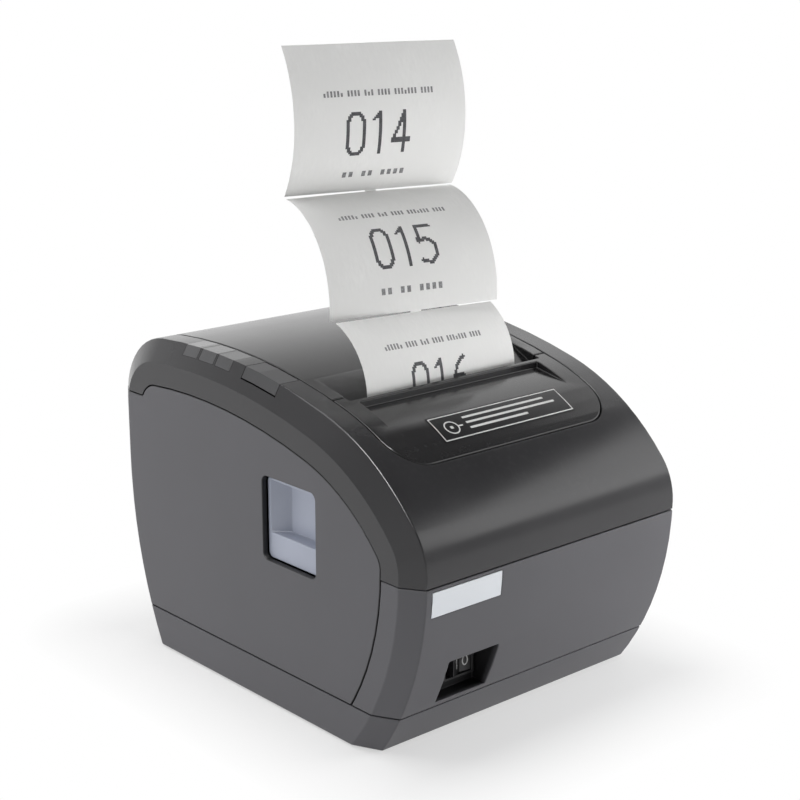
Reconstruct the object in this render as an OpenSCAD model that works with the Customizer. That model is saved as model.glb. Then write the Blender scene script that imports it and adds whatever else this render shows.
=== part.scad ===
// Desktop thermal receipt printer with a drop-in paper roll, a platen lid and a cutter.
// +X is the printer's right, -Y its front and +Z up. The origin is at the middle of its footprint.
// Inside the modules, y is measured from the nose of the body towards its rear.

/* [Body] */
// Width over the side panels
body_w = 145; // [130:1:160]
// Depth from the nose to the rear shoulder
body_d = 190; // [171:1:209]
// Height at the crown, without the paper
body_h = 136; // [123:0.5:149]
// Thickness of the moulded shells
wall = 2.5; // [2:0.1:3]
// Distance of the nose, where the front is furthest forward, below the crown
nose_drop = 60.7; // [59:0.1:62.5]
// Radius of the nose
nose_r = 27; // [24:0.5:30]
// Angle through which the nose turns before the brow
nose_turn = 40; // [36:1:44]
// Radius of the brow over the cutter
brow_r = 101; // [92:1:110]
// Radius of the crown over the lid
crown_r = 300; // [260:5:340]
// Radius of the rear shoulder
shoulder_r = 30; // [28:0.5:33]
// How far the foot of the front stands back from the nose
front_back = 25; // [22:0.1:29]
// Distance of the place where the rear turns in, below the crown
rear_drop = 56; // [50:1:60]
// Radius of the rear below that place
rear_r = 185; // [165:5:220]
// Width of the bevel along the body's edges, seen from the front
bevel_w = 5.5; // [4:0.5:7]
// Depth of the bevel, seen from the side
bevel_in = 9; // [7:0.5:11]
// Distance of the side panel's seam from the outline
panel_in = 18.5; // [16:0.5:20]
// Gap between neighbouring shells
seam = 0.45; // [0.2:0.05:0.5]
// Height of the seam round the base
base_seam_z = 17; // [15:0.5:18]
// Distance of the seam across the front below the nose
front_seam_drop = 3.4; // [2:0.1:4.4]
// Distance of the seam at the rear below the hinge's bosses
rear_seam_drop = 0.3; // [0.2:0.1:2]

/* [Feet] */
// Height of the base above the ground
foot_h = 0.8; // [0.6:0.1:2]
// Diameter of a rubber foot
foot_d = 14; // [10:1:18]
// Depth of the foot's seat in the base
foot_seat = 0.8; // [0.5:0.1:1.2]
// Distance of the feet from the sides
foot_in = 22.5; // [18.5:0.5:30]

/* [Lid] */
// Width of the rim beside the opening for the lid and the cutter cover
rim_w = 9.8; // [8.4:0.2:12]
// Distance of the lid's front edge from the nose
lid_front = 64; // [63:0.5:65]
// Distance of the hinge from the rear of the body
hinge_in = 13; // [12.5:0.1:14]
// Height of the hinge above the middle of the shoulder's radius
hinge_rise = 10.98; // [10:0.02:12]
// Diameter of the hinge pins
hinge_pin_d = 5; // [4:0.5:6]
// Length of the ramp before the slot
ramp_l = 16.5; // [14:0.5:19]
// Distance of the ramp's ends from the sides of the opening
ramp_in = 6.2; // [5.2:0.1:9]
// Tilt of the ramp and of the cutter below it
cutter_tilt = 26; // [24:0.5:28]

/* [Cutter cover] */
// Distance of the cover's front edge from the nose
cover_front = 23; // [21:0.5:26]
// Radius of the cover's front corners
cover_corner_r = 15; // [10:0.5:18]
// Distance of the scoop's ends from the sides of the opening
scoop_in = 9.2; // [7.2:0.1:12]
// Distance of the scoop's front from the nose
scoop_front = 41.5; // [39:0.5:44]
// Depth of the scoop at the lip
scoop_depth = 3; // [2:0.1:3.4]
// Thickness of the lip before the slot
lip_t = 2; // [1.6:0.1:2.4]
// Width of the paper slot
slot_gap = 3; // [2.6:0.1:3.4]

/* [Side button] */
// Width of the button's hole
side_hole_w = 32.4; // [29:0.2:34]
// Height of the button's hole
side_hole_h = 34; // [30:0.5:36]
// Distance of the hole's front from the nose
side_hole_y = 56; // [54:0.5:58]
// Distance of the hole's lower edge below the crown
side_hole_drop = 75; // [73:0.5:78]
// Gap round the button
side_gap = 0.4; // [0.3:0.05:0.6]
// Distance of the button's face behind the panel
side_recess = 2.5; // [2:0.1:3]
// Depth of the finger pocket
pocket_depth = 6; // [5:0.2:7]
// Height of the plate below the finger pocket
pocket_lip = 10.5; // [9:0.5:13]
// Travel of the button
side_travel = 4; // [3:0.2:4.4]

/* [Feed button and indicators] */
// Distance of the feed button's front from the nose
feed_y = 83; // [81:0.5:85]
// Length of the feed button
feed_l = 21; // [18:0.5:22]
// Travel of the feed button
feed_travel = 1.2; // [0.8:0.1:1.4]
// Distance of the first indicator's middle from the nose
window_y = 117; // [115:0.5:119]
// Spacing of the indicators
window_pitch = 11; // [10.8:0.2:12]
// Length of an indicator window
window_l = 10; // [8:0.2:10.4]
// How far the button and the windows reach over the edge
wrap_w = 2.5; // [1.5:0.1:3]

/* [Power switch] */
// Distance of the recess from the left edge of the front
recess_in = 16.5; // [15:0.5:19]
// Width of the recess
recess_w = 25.5; // [23:0.5:28]
// Height of the recess's lower edge
recess_z = 19.5; // [19.3:0.1:21]
// Height of the recess
recess_h = 18.5; // [17:0.5:20]
// Depth of the recess at its middle
recess_depth = 11.08; // [10:0.01:12.5]
// Width of the rocker
rocker_w = 13; // [11:0.5:14]
// Height of the rocker
rocker_h = 9; // [8:0.2:10]
// Angle between the rocker's two positions
rocker_throw = 20; // [14:1:24]

/* [Badge] */
// Distance of the badge plate from the left edge of the front
badge_in = 3; // [2:0.5:7]
// Width of the badge plate
badge_w = 34.7; // [30:0.1:38]
// Distance of the badge plate's lower edge below the nose
badge_drop = 15; // [14.3:0.1:18]
// Height of the badge plate
badge_h = 9.9; // [8:0.1:11]
// Thickness of the badge plate
badge_t = 0.6; // [0.4:0.1:1]

/* [Paper] */
// Distance of the paper's edges from the sides of the opening
paper_in = 17.45; // [17.2:0.05:19]
// Thickness of the receipt strip
paper_t = 0.3; // [0.2:0.05:0.4]
// Room in the bin round a full paper roll
roll_room = 10; // [4:1:24]
// Diameter of the roll's core
core_d = 18; // [16:1:22]
// Wall of the roll's core
core_t = 2.5; // [2:0.5:4]
// Wall of the bin
bin_wall = 2; // [1.6:0.1:2.4]
// Distance of the bin's front from the nose
bin_front = 78; // [77.5:0.5:79]
// Distance of the bin from the rear of the body
bin_back = 24; // [23:0.5:26]
// Height of the bin's underside above the main board
bin_rise = 4.4; // [4:0.2:6]
// Gap between the bin and the ports below its rear
bin_port_gap = 1; // [0.5:0.1:2]

/* [Platen and drive] */
// Diameter of the platen's rubber
platen_d = 12; // [11:0.5:13]
// Diameter of the platen's shaft
shaft_d = 5; // [4:0.5:6]
// Diameter of the platen's bushes
bush_d = 10; // [9:0.5:11]
// Distance of the platen from the nose
platen_y = 73; // [72.5:0.5:73.5]
// Distance of the platen below the crown
platen_drop = 26; // [25.5:0.5:26.5]
// Gap between the rubber and the print head with the lid shut
head_gap = 0.6; // [0.5:0.05:0.8]
// Module of the gears
gear_m = 0.8; // [0.7:0.05:0.85]
// Teeth of the platen gear
platen_teeth = 24; // [22:1:25]
// Teeth of the idler gear
idler_teeth = 20; // [18:1:22]
// Teeth of the motor pinion
pinion_teeth = 12; // [12:1:14]
// Radial running clearance of shafts in their bores
run_fit = 0.05; // [0.02:0.01:0.09]
// Diameter of the latch shaft
latch_d = 5; // [4:0.5:6]

/* [Cutter] */
// Travel of the moving blade
blade_travel = 6; // [5:0.2:6.4]
// Thickness of the blades
blade_t = 1; // [0.8:0.1:1.2]
// Teeth of the gear that drives the blade's rack
cutter_teeth = 16; // [14:1:18]
// Teeth of the cutter motor's pinion
cutter_pinion_teeth = 12; // [10:1:12]

/* [Board and ports] */
// Distance of the main board from the sides
board_in = 22.5; // [20.5:0.5:24.5]
// Distance of the main board behind the bin's front
board_lead = 6; // [4:0.5:10]
// Thickness of the main board
board_t = 1.6; // [1.2:0.2:2]
// Height of the main board
board_z = 18; // [17.6:0.2:18.4]
// Distance of the bay's floor from the rear of the body
bay_in = 26; // [25:0.5:27]
// Width of the bay round the ports
bay_w = 92; // [88:1:96]
// Height of the bay round the ports
bay_h = 16; // [15.4:0.2:17]

/* [Hidden] */
$fn = 48;
eps = 0.01;
far = 400;

// Colours
shell_colour = [0.33, 0.33, 0.35];
cover_colour = [0.2, 0.2, 0.21];
button_colour = [0.68, 0.7, 0.76];
paper_colour = [0.92, 0.92, 0.9];
steel_colour = [0.72, 0.73, 0.75];
dark_colour = [0.1, 0.1, 0.1];
gear_colour = [0.9, 0.88, 0.82];
board_colour = [0.1, 0.35, 0.2];

// Centres of the outline's arcs, each tangent to the next
side_half = body_w / 2;
edge_half = side_half - bevel_w;
nose_z = body_h - nose_drop;
nose_c = [nose_r, nose_z];
brow_c = nose_c + (brow_r - nose_r) * [cos(nose_turn), -sin(nose_turn)];
brow_turn = asin((brow_c[1] + crown_r - body_h) / (crown_r - brow_r));
crown_c = brow_c + (crown_r - brow_r) * [cos(brow_turn), -sin(brow_turn)];
shoulder_y = body_d - shoulder_r;
shoulder_run = shoulder_y - crown_c[0];
shoulder_c = [shoulder_y, crown_c[1] + sqrt(pow(crown_r - shoulder_r, 2) - pow(shoulder_run, 2))];
crown_end = atan2(shoulder_c[1] - crown_c[1], shoulder_run);
rear_z = body_h - rear_drop;
rear_c = [body_d - rear_r, rear_z];
front_r = (pow(front_back, 2) + pow(nose_z, 2)) / front_back / 2;
front_c = [front_r, nose_z];
front_seam_z = nose_z - front_seam_drop;

// Points along an arc, without its first point, which the arc before it already has
function arc(c, r, a0, a1, n) =
    [for (i = [1:n]) let (a = a0 + (a1 - a0) * i / n) c + r * [cos(a), sin(a)]];

// Outline of the body, seen from the right side and drawn in by an even amount
function profile(in) = concat(
    [[front_c[0] - sqrt(pow(front_r - in, 2) - pow(nose_z, 2)), 0]],
    arc(front_c, front_r - in, 180 + asin(nose_z / (front_r - in)), 180, 10),
    arc(nose_c, nose_r - in, 180, 180 - nose_turn, 7),
    arc(brow_c, brow_r - in, 180 - nose_turn, 180 - brow_turn, 9),
    arc(crown_c, crown_r - in, 180 - brow_turn, crown_end, 8),
    arc(shoulder_c, shoulder_r - in, crown_end, 0, 11),
    [[body_d - in, rear_z]],
    arc(rear_c, rear_r - in, 0, -asin(rear_z / (rear_r - in)), 9)
);

// Outline of a side panel, drawn in like the body's but run out to the rear below a height
function panel_outline(in, top) = let (points = profile(in)) concat(
    [for (p = points) if (p[0] < body_d / 2 || p[1] > top) p],
    [
        for (i = [1:len(points) - 1])
            let (a = points[i - 1], b = points[i])
                if (a[0] > body_d / 2 && a[1] > top && b[1] <= top) a + (b - a) * (a[1] - top) / (a[1] - b[1])
    ],
    [[body_d, top], [body_d, 0]]
);

// Height of the dome over a place between the brow and the shoulder
function dome_z(y) =
    y < crown_c[0] - crown_r * cos(brow_turn)
        ? brow_c[1] + sqrt(pow(brow_r, 2) - pow(y - brow_c[0], 2))
        : crown_c[1] + sqrt(pow(crown_r, 2) - pow(y - crown_c[0], 2));

// Ledge behind the side panels
ledge_w = 3;
ledge_x = side_half - wall - seam - 2;

// Base
floor_z = foot_h + wall;
foot_x = side_half - foot_in;
foot_y = [44, body_d - 44];
screw_x = side_half - 13;
screw_y = [36, body_d - 34];
screw_d = 3;
screw_head_d = 6;
screw_head_h = 2.2;
screw_short = 6;
post_d = 8;
post_foot = base_seam_z + seam / 2;
post_top = base_seam_z + 20;

// Lid and hinge
half_open = edge_half - rim_w;
lid_half = half_open - seam;
hinge_y = body_d - hinge_in;
hinge_z = shoulder_c[1] + hinge_rise;
knuckle_r = shoulder_r - norm([hinge_y, hinge_z] - shoulder_c);
knuckle_angle = atan2(hinge_z - shoulder_c[1], hinge_y - shoulder_c[0]);
hinge_disc = 4;
boss_wall = 3;
boss_r = hinge_pin_d / 2 + boss_wall;
rear_seam_z = hinge_z - boss_r - rear_seam_drop;
opening_rear = hinge_y - knuckle_r - 8;
ledge_in = 2.8;
ledge_drop = 2.4;
ramp_t = 1.8;
liner_t = 2;
cut_drop = 4.3;

// Slot, ramp and cutter plane
slot_front = lid_front - slot_gap;
scoop_half = half_open - scoop_in;
scoop_run = 12;
ramp_half = half_open - ramp_in;
ramp_top = lid_front + ramp_l;
ramp_slope = tan(cutter_tilt);
ramp_low = dome_z(ramp_top) - ramp_l * ramp_slope;
cut_y = lid_front - 1;
cut_z = ramp_low - cut_drop;
ramp_under = (ramp_low - cut_z - (lid_front - cut_y) * ramp_slope) * cos(cutter_tilt) - ramp_t;

// Side button
button_w = side_hole_w - 2 * side_gap;
button_h = side_hole_h - 2 * side_gap;
button_x = -side_half + side_recess;
button_wall = 1.6;
button_corner_r = 2.5;
button_depth = pocket_depth + button_wall;
button_y = side_hole_y + side_hole_w / 2;
side_hole_z = body_h - side_hole_drop;
button_z = side_hole_z + side_hole_h / 2;
stem_d = 6;
stem_end = 1;
spring_wall = 1.4;
cam_gap = 1.3;
cam_t = 4;
cam_nose = 0.6;

// Feed button and indicators
strip_in = half_open + 0.8;
strip_out = edge_half + wrap_w;
wrap_drop = wrap_w * bevel_in / bevel_w;
cap_gap = 0.3;
feed_hole_drop = feed_travel + 0.5;
panel_board_z = body_h - 17;
panel_board_t = 1.6;
panel_board_x = [-edge_half + wall + 0.3, -half_open - 1];
feed_mid = feed_y + feed_l / 2;
strip_mid = -(strip_in + edge_half) / 2;
hanger_l = 3;
hanger_y = [feed_y + feed_l + 2, window_span(2)[1] + 1];
feed_switch_h = 2.5;
feed_switch_w = 3.8;
plunger_d = 2.6;
lamp_d = 2.4;
plunger_z = panel_board_z + panel_board_t + feed_switch_h + feed_travel + 0.2;

// Power switch
recess_wall = 2;
recess_x = -edge_half + recess_in;
rocker_in = 8.5;
rocker_x = recess_x + recess_w - rocker_in;
rocker_z = recess_z + recess_h / 2;
recess_floor = front_r - sqrt(pow(front_r, 2) - pow(nose_z - rocker_z, 2)) + recess_depth;
bezel_w = rocker_w + 3;
bezel_h = rocker_h + 3;
bezel_t = 1.5;
rocker_gap = 0.3;
pivot_d = 2;
rocker_tip = rocker_w / 2 - 1;
rocker_rise = 5.2;
pivot_y = recess_floor + 2.6;
switch_depth = 14;

// Badge
badge_x = -edge_half + badge_in;
badge_z = nose_z - badge_drop;

// Mechanism
paper_w = 2 * (half_open - paper_in);
platen_z = body_h - platen_drop;
frame_x = paper_w / 2 + 4.25;
frame_t = 2;
frame_z = platen_z - 40;
frame_front = platen_y - 23;
frame_rear = platen_y + 11;
frame_nose = [platen_y - 45, platen_z - 18];
floor_rear = bin_front - 1.5;
frame_top = platen_z + 8;
column_d = 9;
column_in = [8, 6];
arm_x = [paper_w / 2 + 0.85, frame_x - 0.6];
rubber_half = paper_w / 2 + 0.25;
latch_x = [frame_x + frame_t + 1, frame_x + frame_t + 3.5];
gear_x = [latch_x[1] + 1, latch_x[1] + 5];
latch_c = [platen_y - 15.5, platen_z - 8.5];
latch_throw = 14;
finger_x = [-latch_x[1] - 5, -latch_x[1] - 2.5];
finger_tip_r = 1.8;
finger_end = latch_c + [6, -side_travel / tan(latch_throw)];
stem_x = -frame_x - frame_t - stem_end - side_travel;
head_t = 1.2;
head_z = [platen_z - 10, platen_z + 4];
head_half = paper_w / 2 - 0.75;
head_y = platen_y - platen_d / 2 - head_gap;
sink_t = 4;
spring_d = 4;
spring_x = head_half - 15;
spring_z = platen_z - 3;
bush_slot = bush_d / 2 + 0.6;

// Gear train below the platen
mesh_gap = 0.1;
tooth_top = 0.8;
tooth_root = 1.2;
platen_c = [platen_y, platen_z];
idler_c = platen_c - [0, (platen_teeth + idler_teeth) * gear_m / 2 + mesh_gap];
idler_phase = 90 + 180 / idler_teeth;
pinion_dir = idler_phase + 6 * 360 / idler_teeth;
pinion_run = (idler_teeth + pinion_teeth) * gear_m / 2 + mesh_gap;
pinion_c = idler_c + pinion_run * [cos(pinion_dir), sin(pinion_dir)];
pinion_phase = pinion_dir + 180 + 180 / pinion_teeth;
idler_pin_d = 4;
motor_d = 25;
motor_l = 17;
motor_shaft_d = 2;
motor_boss_d = 8.6;

// Cutter, measured along its slope from the cutting line
blade_half = paper_w / 2 - 1.75;
fixed_blade_l = 8.4;
blade_tip = -3.6;
blade_root = -23;
blade_gap = 0.15;
cutter_half = frame_x + frame_t;
cutter_back = -38;
cutter_front = -4;
cutter_plate = 2.4;
plate_top = -blade_t / 2 - blade_gap;
rack_x = 34 - cutter_half;
rack_w = 4;
rack_run = [-32, blade_root + 3];
gear_u = -27;
cutter_gear_r = cutter_teeth * gear_m / 2;
cutter_gear_x = rack_x - cutter_gear_r - mesh_gap;
cutter_gear_t = 3;
cutter_gear_w = plate_top - cutter_plate - 0.4;
cutter_gear_low = cutter_gear_w - cutter_gear_t;
cutter_motor_top = cutter_gear_low - 0.5;
rack_h = -cutter_gear_low;
cutter_pinion_run = (cutter_teeth + cutter_pinion_teeth) * gear_m / 2 + mesh_gap;
cutter_pinion_x = cutter_gear_x - cutter_pinion_run;
cutter_axle_d = 3;
cutter_motor_d = 15;
cutter_motor_l = 8;
pinion_tail = 4;
tail_gap = 0.8;

// Ports
bay_z = board_z + board_t - 0.4;
bay_y = body_d - bay_in;
board_rear = bay_y - 12;
board_front = bin_front + board_lead;
board_mid = (board_front + board_rear) / 2;
board_half = side_half - board_in;
chip_w = 14;
chip_t = 1.4;
cap_d = 6;
cap_h = 9;
bay_wall = 2;
port_y = bay_y - 14;
port_out = bay_y + bay_wall + 1;
port_fit = 0.3;
port_base = board_z + board_t;
dc_x = 32;
usb_x = 9;
lan_x = -12;
drawer_x = -33;
dc_size = [14, 13];
usb_size = [12, 11];
lan_size = [16, 13.4];
drawer_size = [13.6, 13];

// Paper
bin_d = body_d - bin_front - bin_back - 2 * bin_wall;
bin_y = bin_front + bin_wall + bin_d / 2;
bin_outer_r = bin_d / 2 + bin_wall;
bin_over_ports = port_base + lan_size[1] + bin_port_gap + sqrt(pow(bin_outer_r, 2) - pow(port_y - bin_y, 2));
bin_z = max(port_base + bin_rise + bin_outer_r, bin_over_ports);
roll_d = bin_d - roll_room;
roll_z = bin_z - bin_d / 2 + 0.3 + roll_d / 2;
bin_half = paper_w / 2 + 1.5;
bin_top = body_h - 30;
bin_guide_top = body_h - 40;
sensor_d = 6;
sensor_z = min(bin_z - 8, frame_z - 10);
sensor_r = sensor_d / 2 + 1.5;
sensor_y = bin_y - sqrt(pow(bin_d / 2, 2) - pow(bin_z - sensor_z, 2)) - 1;
sensor_l = sensor_y - bin_y + sqrt(pow(bin_outer_r, 2) - pow(bin_z - sensor_z - sensor_r, 2)) + 0.35;
flange_y = [frame_rear + 3, hinge_y - knuckle_r - 4];
leg_x = half_open - 4;
leg_w = 5;
leg_y = [bin_front + 18, bin_y + bin_d / 2 - 24];

// Receipts, counted from the slot upwards
strip_y = lid_front + seam / 2 - paper_t - 0.16;
strip_z = ramp_low - 0.9;
slip_l = [34.8, 64.5, 64.5];
slip_turn = [67, 85, 73];
slip_start = [93, 89, 130];
slip_skew = [0, -9, -2];
slip_shift = [0, 3.7, -2];
slip_slant = [4.3, 0, 0];
slip_steps = 10;
bridge_w = 6;
bridge_t = 1.2;
tear_gap = 0.4;

// Shared shapes

module placed() translate([0, -body_d / 2, 0]) children();

module along_x(x0, x1) translate([x0, 0, 0]) rotate([90, 0, 90]) linear_extrude(x1 - x0) children();

module rod(x0, x1, c, d) translate([x0, c[0], c[1]]) rotate([0, 90, 0]) cylinder(d = d, h = x1 - x0);

module box(x, y, z) translate([x[0], y[0], z[0]]) cube([x[1] - x[0], y[1] - y[0], z[1] - z[0]]);

module both() for (side = [0, 1]) mirror([side, 0, 0]) children();

module slab(in, half) along_x(-half, half) polygon(profile(in));

module outer() hull() {
    slab(0, edge_half);
    slab(bevel_in, side_half);
}

module hollow(t) {
    slab(t, edge_half - t);
    slab(bevel_in + t, side_half - t);
}

module shell(t) difference() {
    outer();
    hollow(t);
}

module from(z) box([-far, far], [-far, far], [z, far]);

module between(z0, z1) box([-far, far], [-far, far], [z0, z1]);

// Ledge inside a shell on which the edge of a side panel lies
module panel_ledge() both() {
    along_x(ledge_x, side_half - wall - seam) band(panel_in - ledge_w, panel_in + ledge_w);
    along_x(ledge_x, side_half - wall + eps) band(panel_in - ledge_w, panel_in - seam);
}

module band(in_0, in_1) difference() {
    polygon(profile(in_0));
    polygon(profile(in_1));
}

module panel_hole() both() along_x(side_half - wall - seam, side_half + 1) polygon(profile(panel_in));

// Plan of the cutter cover and the lid with a given gap to their opening
module cover_plan(gap) {
    half = half_open - gap;
    r = cover_corner_r - gap;
    front = cover_front + gap;
    translate([-half, front + r]) square([2 * half, lid_front - front - r - gap]);
    translate([-half + r, front]) square([2 * half - 2 * r, r + 1]);
    for (side = [-1, 1]) translate([side * (half - r), front + r]) circle(r);
}

module opening_plan(gap) {
    cover_plan(gap);
    translate([-half_open + gap, lid_front - 20])
        square([2 * half_open - 2 * gap, opening_rear - lid_front + 20 - gap]);
}

module prism(z0, z1) translate([0, 0, z0]) linear_extrude(z1 - z0) children();

// Tooth outline with straight flanks, thin enough to run free
module gear_plan(teeth, phase) {
    pitch_r = teeth * gear_m / 2;
    half = 90 / teeth * 0.84;
    steps = [[-tooth_root, -1.5], [0, -1], [tooth_top, -0.5], [tooth_top, 0.5], [0, 1], [-tooth_root, 1.5]];
    polygon([
        for (i = [0:teeth - 1])
            for (s = steps)
                let (a = phase + 360 * i / teeth + s[1] * half)
                    (pitch_r + s[0] * gear_m) * [cos(a), sin(a)]
    ]);
}

module gear_along_x(x, c, teeth, phase, bore) along_x(x[0], x[1]) translate(c) difference() {
    gear_plan(teeth, phase);
    circle(d = bore);
}

module on_cutter() translate([0, cut_y, cut_z]) rotate([cutter_tilt, 0, 0]) children();

// Half plane above the ramp, or below it by a distance measured square to it
module ramp_side(drop, down) translate([lid_front, ramp_low]) rotate(cutter_tilt) translate([0, -drop])
    translate([-far / 2, down ? -far : 0]) square([far, far]);

// Base and panels

module base_tray() color(shell_colour) placed() difference() {
    union() {
        intersection() {
            union() {
                shell(wall);
                intersection() {
                    outer();
                    between(foot_h, floor_z);
                }
            }
            between(foot_h, base_seam_z - seam / 2);
        }
        for (p = board_posts()) translate([p[0], p[1], floor_z - eps])
            cylinder(d = post_d - 1, h = board_z - floor_z + eps);
        for (p = frame_columns()) translate([p[0], p[1], floor_z - eps])
            cylinder(d = column_d, h = frame_z - floor_z + eps);
        both() for (y = screw_y) translate([screw_x, y, floor_z - eps])
            cylinder(d = post_d, h = base_seam_z - seam / 2 - floor_z + eps);
    }
    for (p = board_posts()) translate([p[0], p[1], floor_z + 1]) cylinder(d = screw_d, h = far);
    both() for (y = screw_y) translate([screw_x, y, 0]) {
        cylinder(d = screw_d + 0.4, h = far);
        cylinder(d = screw_head_d + 0.6, h = foot_h + screw_head_h + 2.5);
    }
    both() for (y = foot_y) translate([foot_x, y, 0]) cylinder(d = foot_d + 0.4, h = foot_h + foot_seat);
}

function board_posts() = [
    for (x = [-1, 1], y = [board_rear - 5, board_front + 5]) [x * (board_half - 5), y]
];
function frame_columns() = [
    for (x = [-1, 1], y = [frame_front + column_in[1], floor_rear - column_in[1]])
        [x * (frame_x - column_in[0]), y]
];

module rubber_feet() color(dark_colour) placed() both() for (y = foot_y) translate([foot_x, y, 0])
    cylinder(d = foot_d, h = foot_h + foot_seat);

module case_screws() color(steel_colour) placed() both() for (y = screw_y) translate([screw_x, y, 0]) {
    translate([0, 0, foot_h + 2.5]) cylinder(d = screw_head_d, h = screw_head_h);
    translate([0, 0, foot_h + 2.5]) cylinder(d = screw_d, h = post_top - foot_h - screw_short);
}

// Column for a case screw, tied to the wall of its panel
module screw_post(y, tie_y) {
    both() difference() {
        union() {
            translate([screw_x, y, post_foot]) cylinder(d = post_d, h = post_top - post_foot);
            intersection() {
                box([screw_x - 1.5, screw_x + 1.5], [min(y, tie_y), max(y, tie_y)], [post_foot, post_top]);
                outer();
            }
        }
        translate([screw_x, y, 0]) cylinder(d = screw_d, h = post_top - 2);
    }
}

module front_panel() color(shell_colour) placed() difference() {
    union() {
        intersection() {
            union() {
                difference() {
                    shell(wall);
                    panel_hole();
                }
                panel_ledge();
            }
            box([-far, far], [-far, bin_y], [base_seam_z + seam / 2, front_seam_z - seam / 2]);
        }
        screw_post(screw_y[0], -20);
        intersection() {
            outer();
            box([recess_x - recess_wall, recess_x + recess_w + recess_wall], [-20, recess_floor + recess_wall],
                [recess_z - recess_wall, recess_z + recess_h + recess_wall]);
        }
    }
    box([recess_x, recess_x + recess_w], [-20, recess_floor], [recess_z, recess_z + recess_h]);
    box([rocker_x - rocker_w / 2 - 1, rocker_x + rocker_w / 2 + 1], [0, recess_floor + 10],
        [rocker_z - rocker_h / 2 - 1, rocker_z + rocker_h / 2 + 1]);
    along_x(badge_x - 0.1, badge_x + badge_w + 0.1) difference() {
        translate([-20, badge_z - 0.1]) square([40, badge_h + 0.2]);
        polygon(profile(badge_t));
    }
}

module badge_plate() color(paper_colour) placed() along_x(badge_x, badge_x + badge_w) intersection() {
    band(0, badge_t);
    translate([-20, badge_z]) square([40, badge_h]);
}

module bay_cut() box([-bay_w / 2, bay_w / 2], [bay_y + bay_wall, far], [bay_z, bay_z + bay_h]);

module rear_panel() color(shell_colour) placed() difference() {
    flank = side_half - wall - seam;
    union() {
        intersection() {
            outer();
            union() {
                shell(wall);
                both() along_x(ledge_x, side_half) band(0, panel_in + ledge_w);
            }
            box([-flank, flank], [bin_y + 5, far], [base_seam_z + seam / 2, rear_seam_z - seam / 2]);
        }
        screw_post(screw_y[1], body_d + 20);
        intersection() {
            outer();
            box([-bay_w / 2 - bay_wall, bay_w / 2 + bay_wall], [bay_y, far],
                [base_seam_z + seam / 2, bay_z + bay_h + bay_wall]);
        }
    }
    bay_cut();
    port_hole(dc_x, dc_size);
    port_hole(usb_x, usb_size);
    port_hole(lan_x, lan_size);
    port_hole(drawer_x, drawer_size);
}

module port_hole(x, size) box([x - size[0] / 2 - port_fit, x + size[0] / 2 + port_fit], [bay_y - 1, far],
    [port_base - port_fit, port_base + size[1] + port_fit]);

module top_shell() color(shell_colour) placed() difference() {
    union() {
        intersection() {
            union() {
                difference() {
                    shell(wall);
                    panel_hole();
                }
                panel_ledge();
                intersection() {
                    shell(ledge_in + ledge_drop);
                    box([-half_open - 3, half_open + 3], [cover_front - 4, opening_rear + 2], [0, far]);
                }
            }
            union() {
                box([-far, far], [-far, bin_y + 2.5], [front_seam_z + seam / 2, far]);
                box([-far, far], [bin_y + 2, far], [rear_seam_z + seam / 2, far]);
            }
        }
        both() rod(half_open + 0.5, edge_half - 1, [hinge_y, hinge_z], 2 * boss_r);
        board_hangers();
    }
    difference() {
        prism(0, far) opening_plan(0);
        slab(ledge_in, edge_half);
    }
    prism(0, far) opening_plan(2.7);
    box([-half_open, half_open], [opening_rear - 2, far], [rear_seam_z - 2, far]);
    both() rod(half_open - 1, edge_half - 3, [hinge_y, hinge_z], hinge_pin_d);
    strip_hole([feed_y, feed_y + feed_l], cap_gap, feed_hole_drop);
    for (i = [0:2]) strip_hole(window_span(i), 0.1, 0.1);
}

// Bosses under the left strip that carry the button board
module board_hangers() intersection() {
    outer();
    for (y = hanger_y)
        box([strip_mid - 1.5, strip_mid + 1.5], [y, y + hanger_l], [panel_board_z + panel_board_t, far]);
}

function window_mid(i) = window_y + i * window_pitch;
function window_span(i) = [window_mid(i) - window_l / 2, window_mid(i) + window_l / 2];

// Opening in the left strip for a button or a window, which also cuts the bevel
module strip_hole(y, gap, drop) intersection() {
    box([-strip_out - gap, -strip_in + gap], [y[0] - gap, y[1] + gap], [0, far]);
    along_x(-far, 0) difference() {
        translate([0, body_h / 2]) square([body_d, far]);
        polygon(profile(wrap_drop + drop));
    }
}

// Cap that fills such an opening, flush with the shell
module strip_cap(y) intersection() {
    outer();
    box([-strip_out, -strip_in], y, [body_h / 2, far]);
    along_x(-far, 0) difference() {
        polygon(profile(-1));
        polygon(profile(wrap_drop));
    }
}

module side_panel() intersection() {
    outer();
    along_x(side_half - wall, side_half) polygon(panel_outline(panel_in + seam, rear_seam_z - seam / 2));
    from(base_seam_z + seam / 2);
}

module left_side_panel() color(shell_colour) placed() difference() {
    mirror([1, 0, 0]) side_panel();
    translate([-far, button_y, button_z]) rotate([0, 90, 0]) linear_extrude(far) button_plan(side_gap);
}

module right_side_panel() color(shell_colour) placed() side_panel();

// Lid

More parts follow.
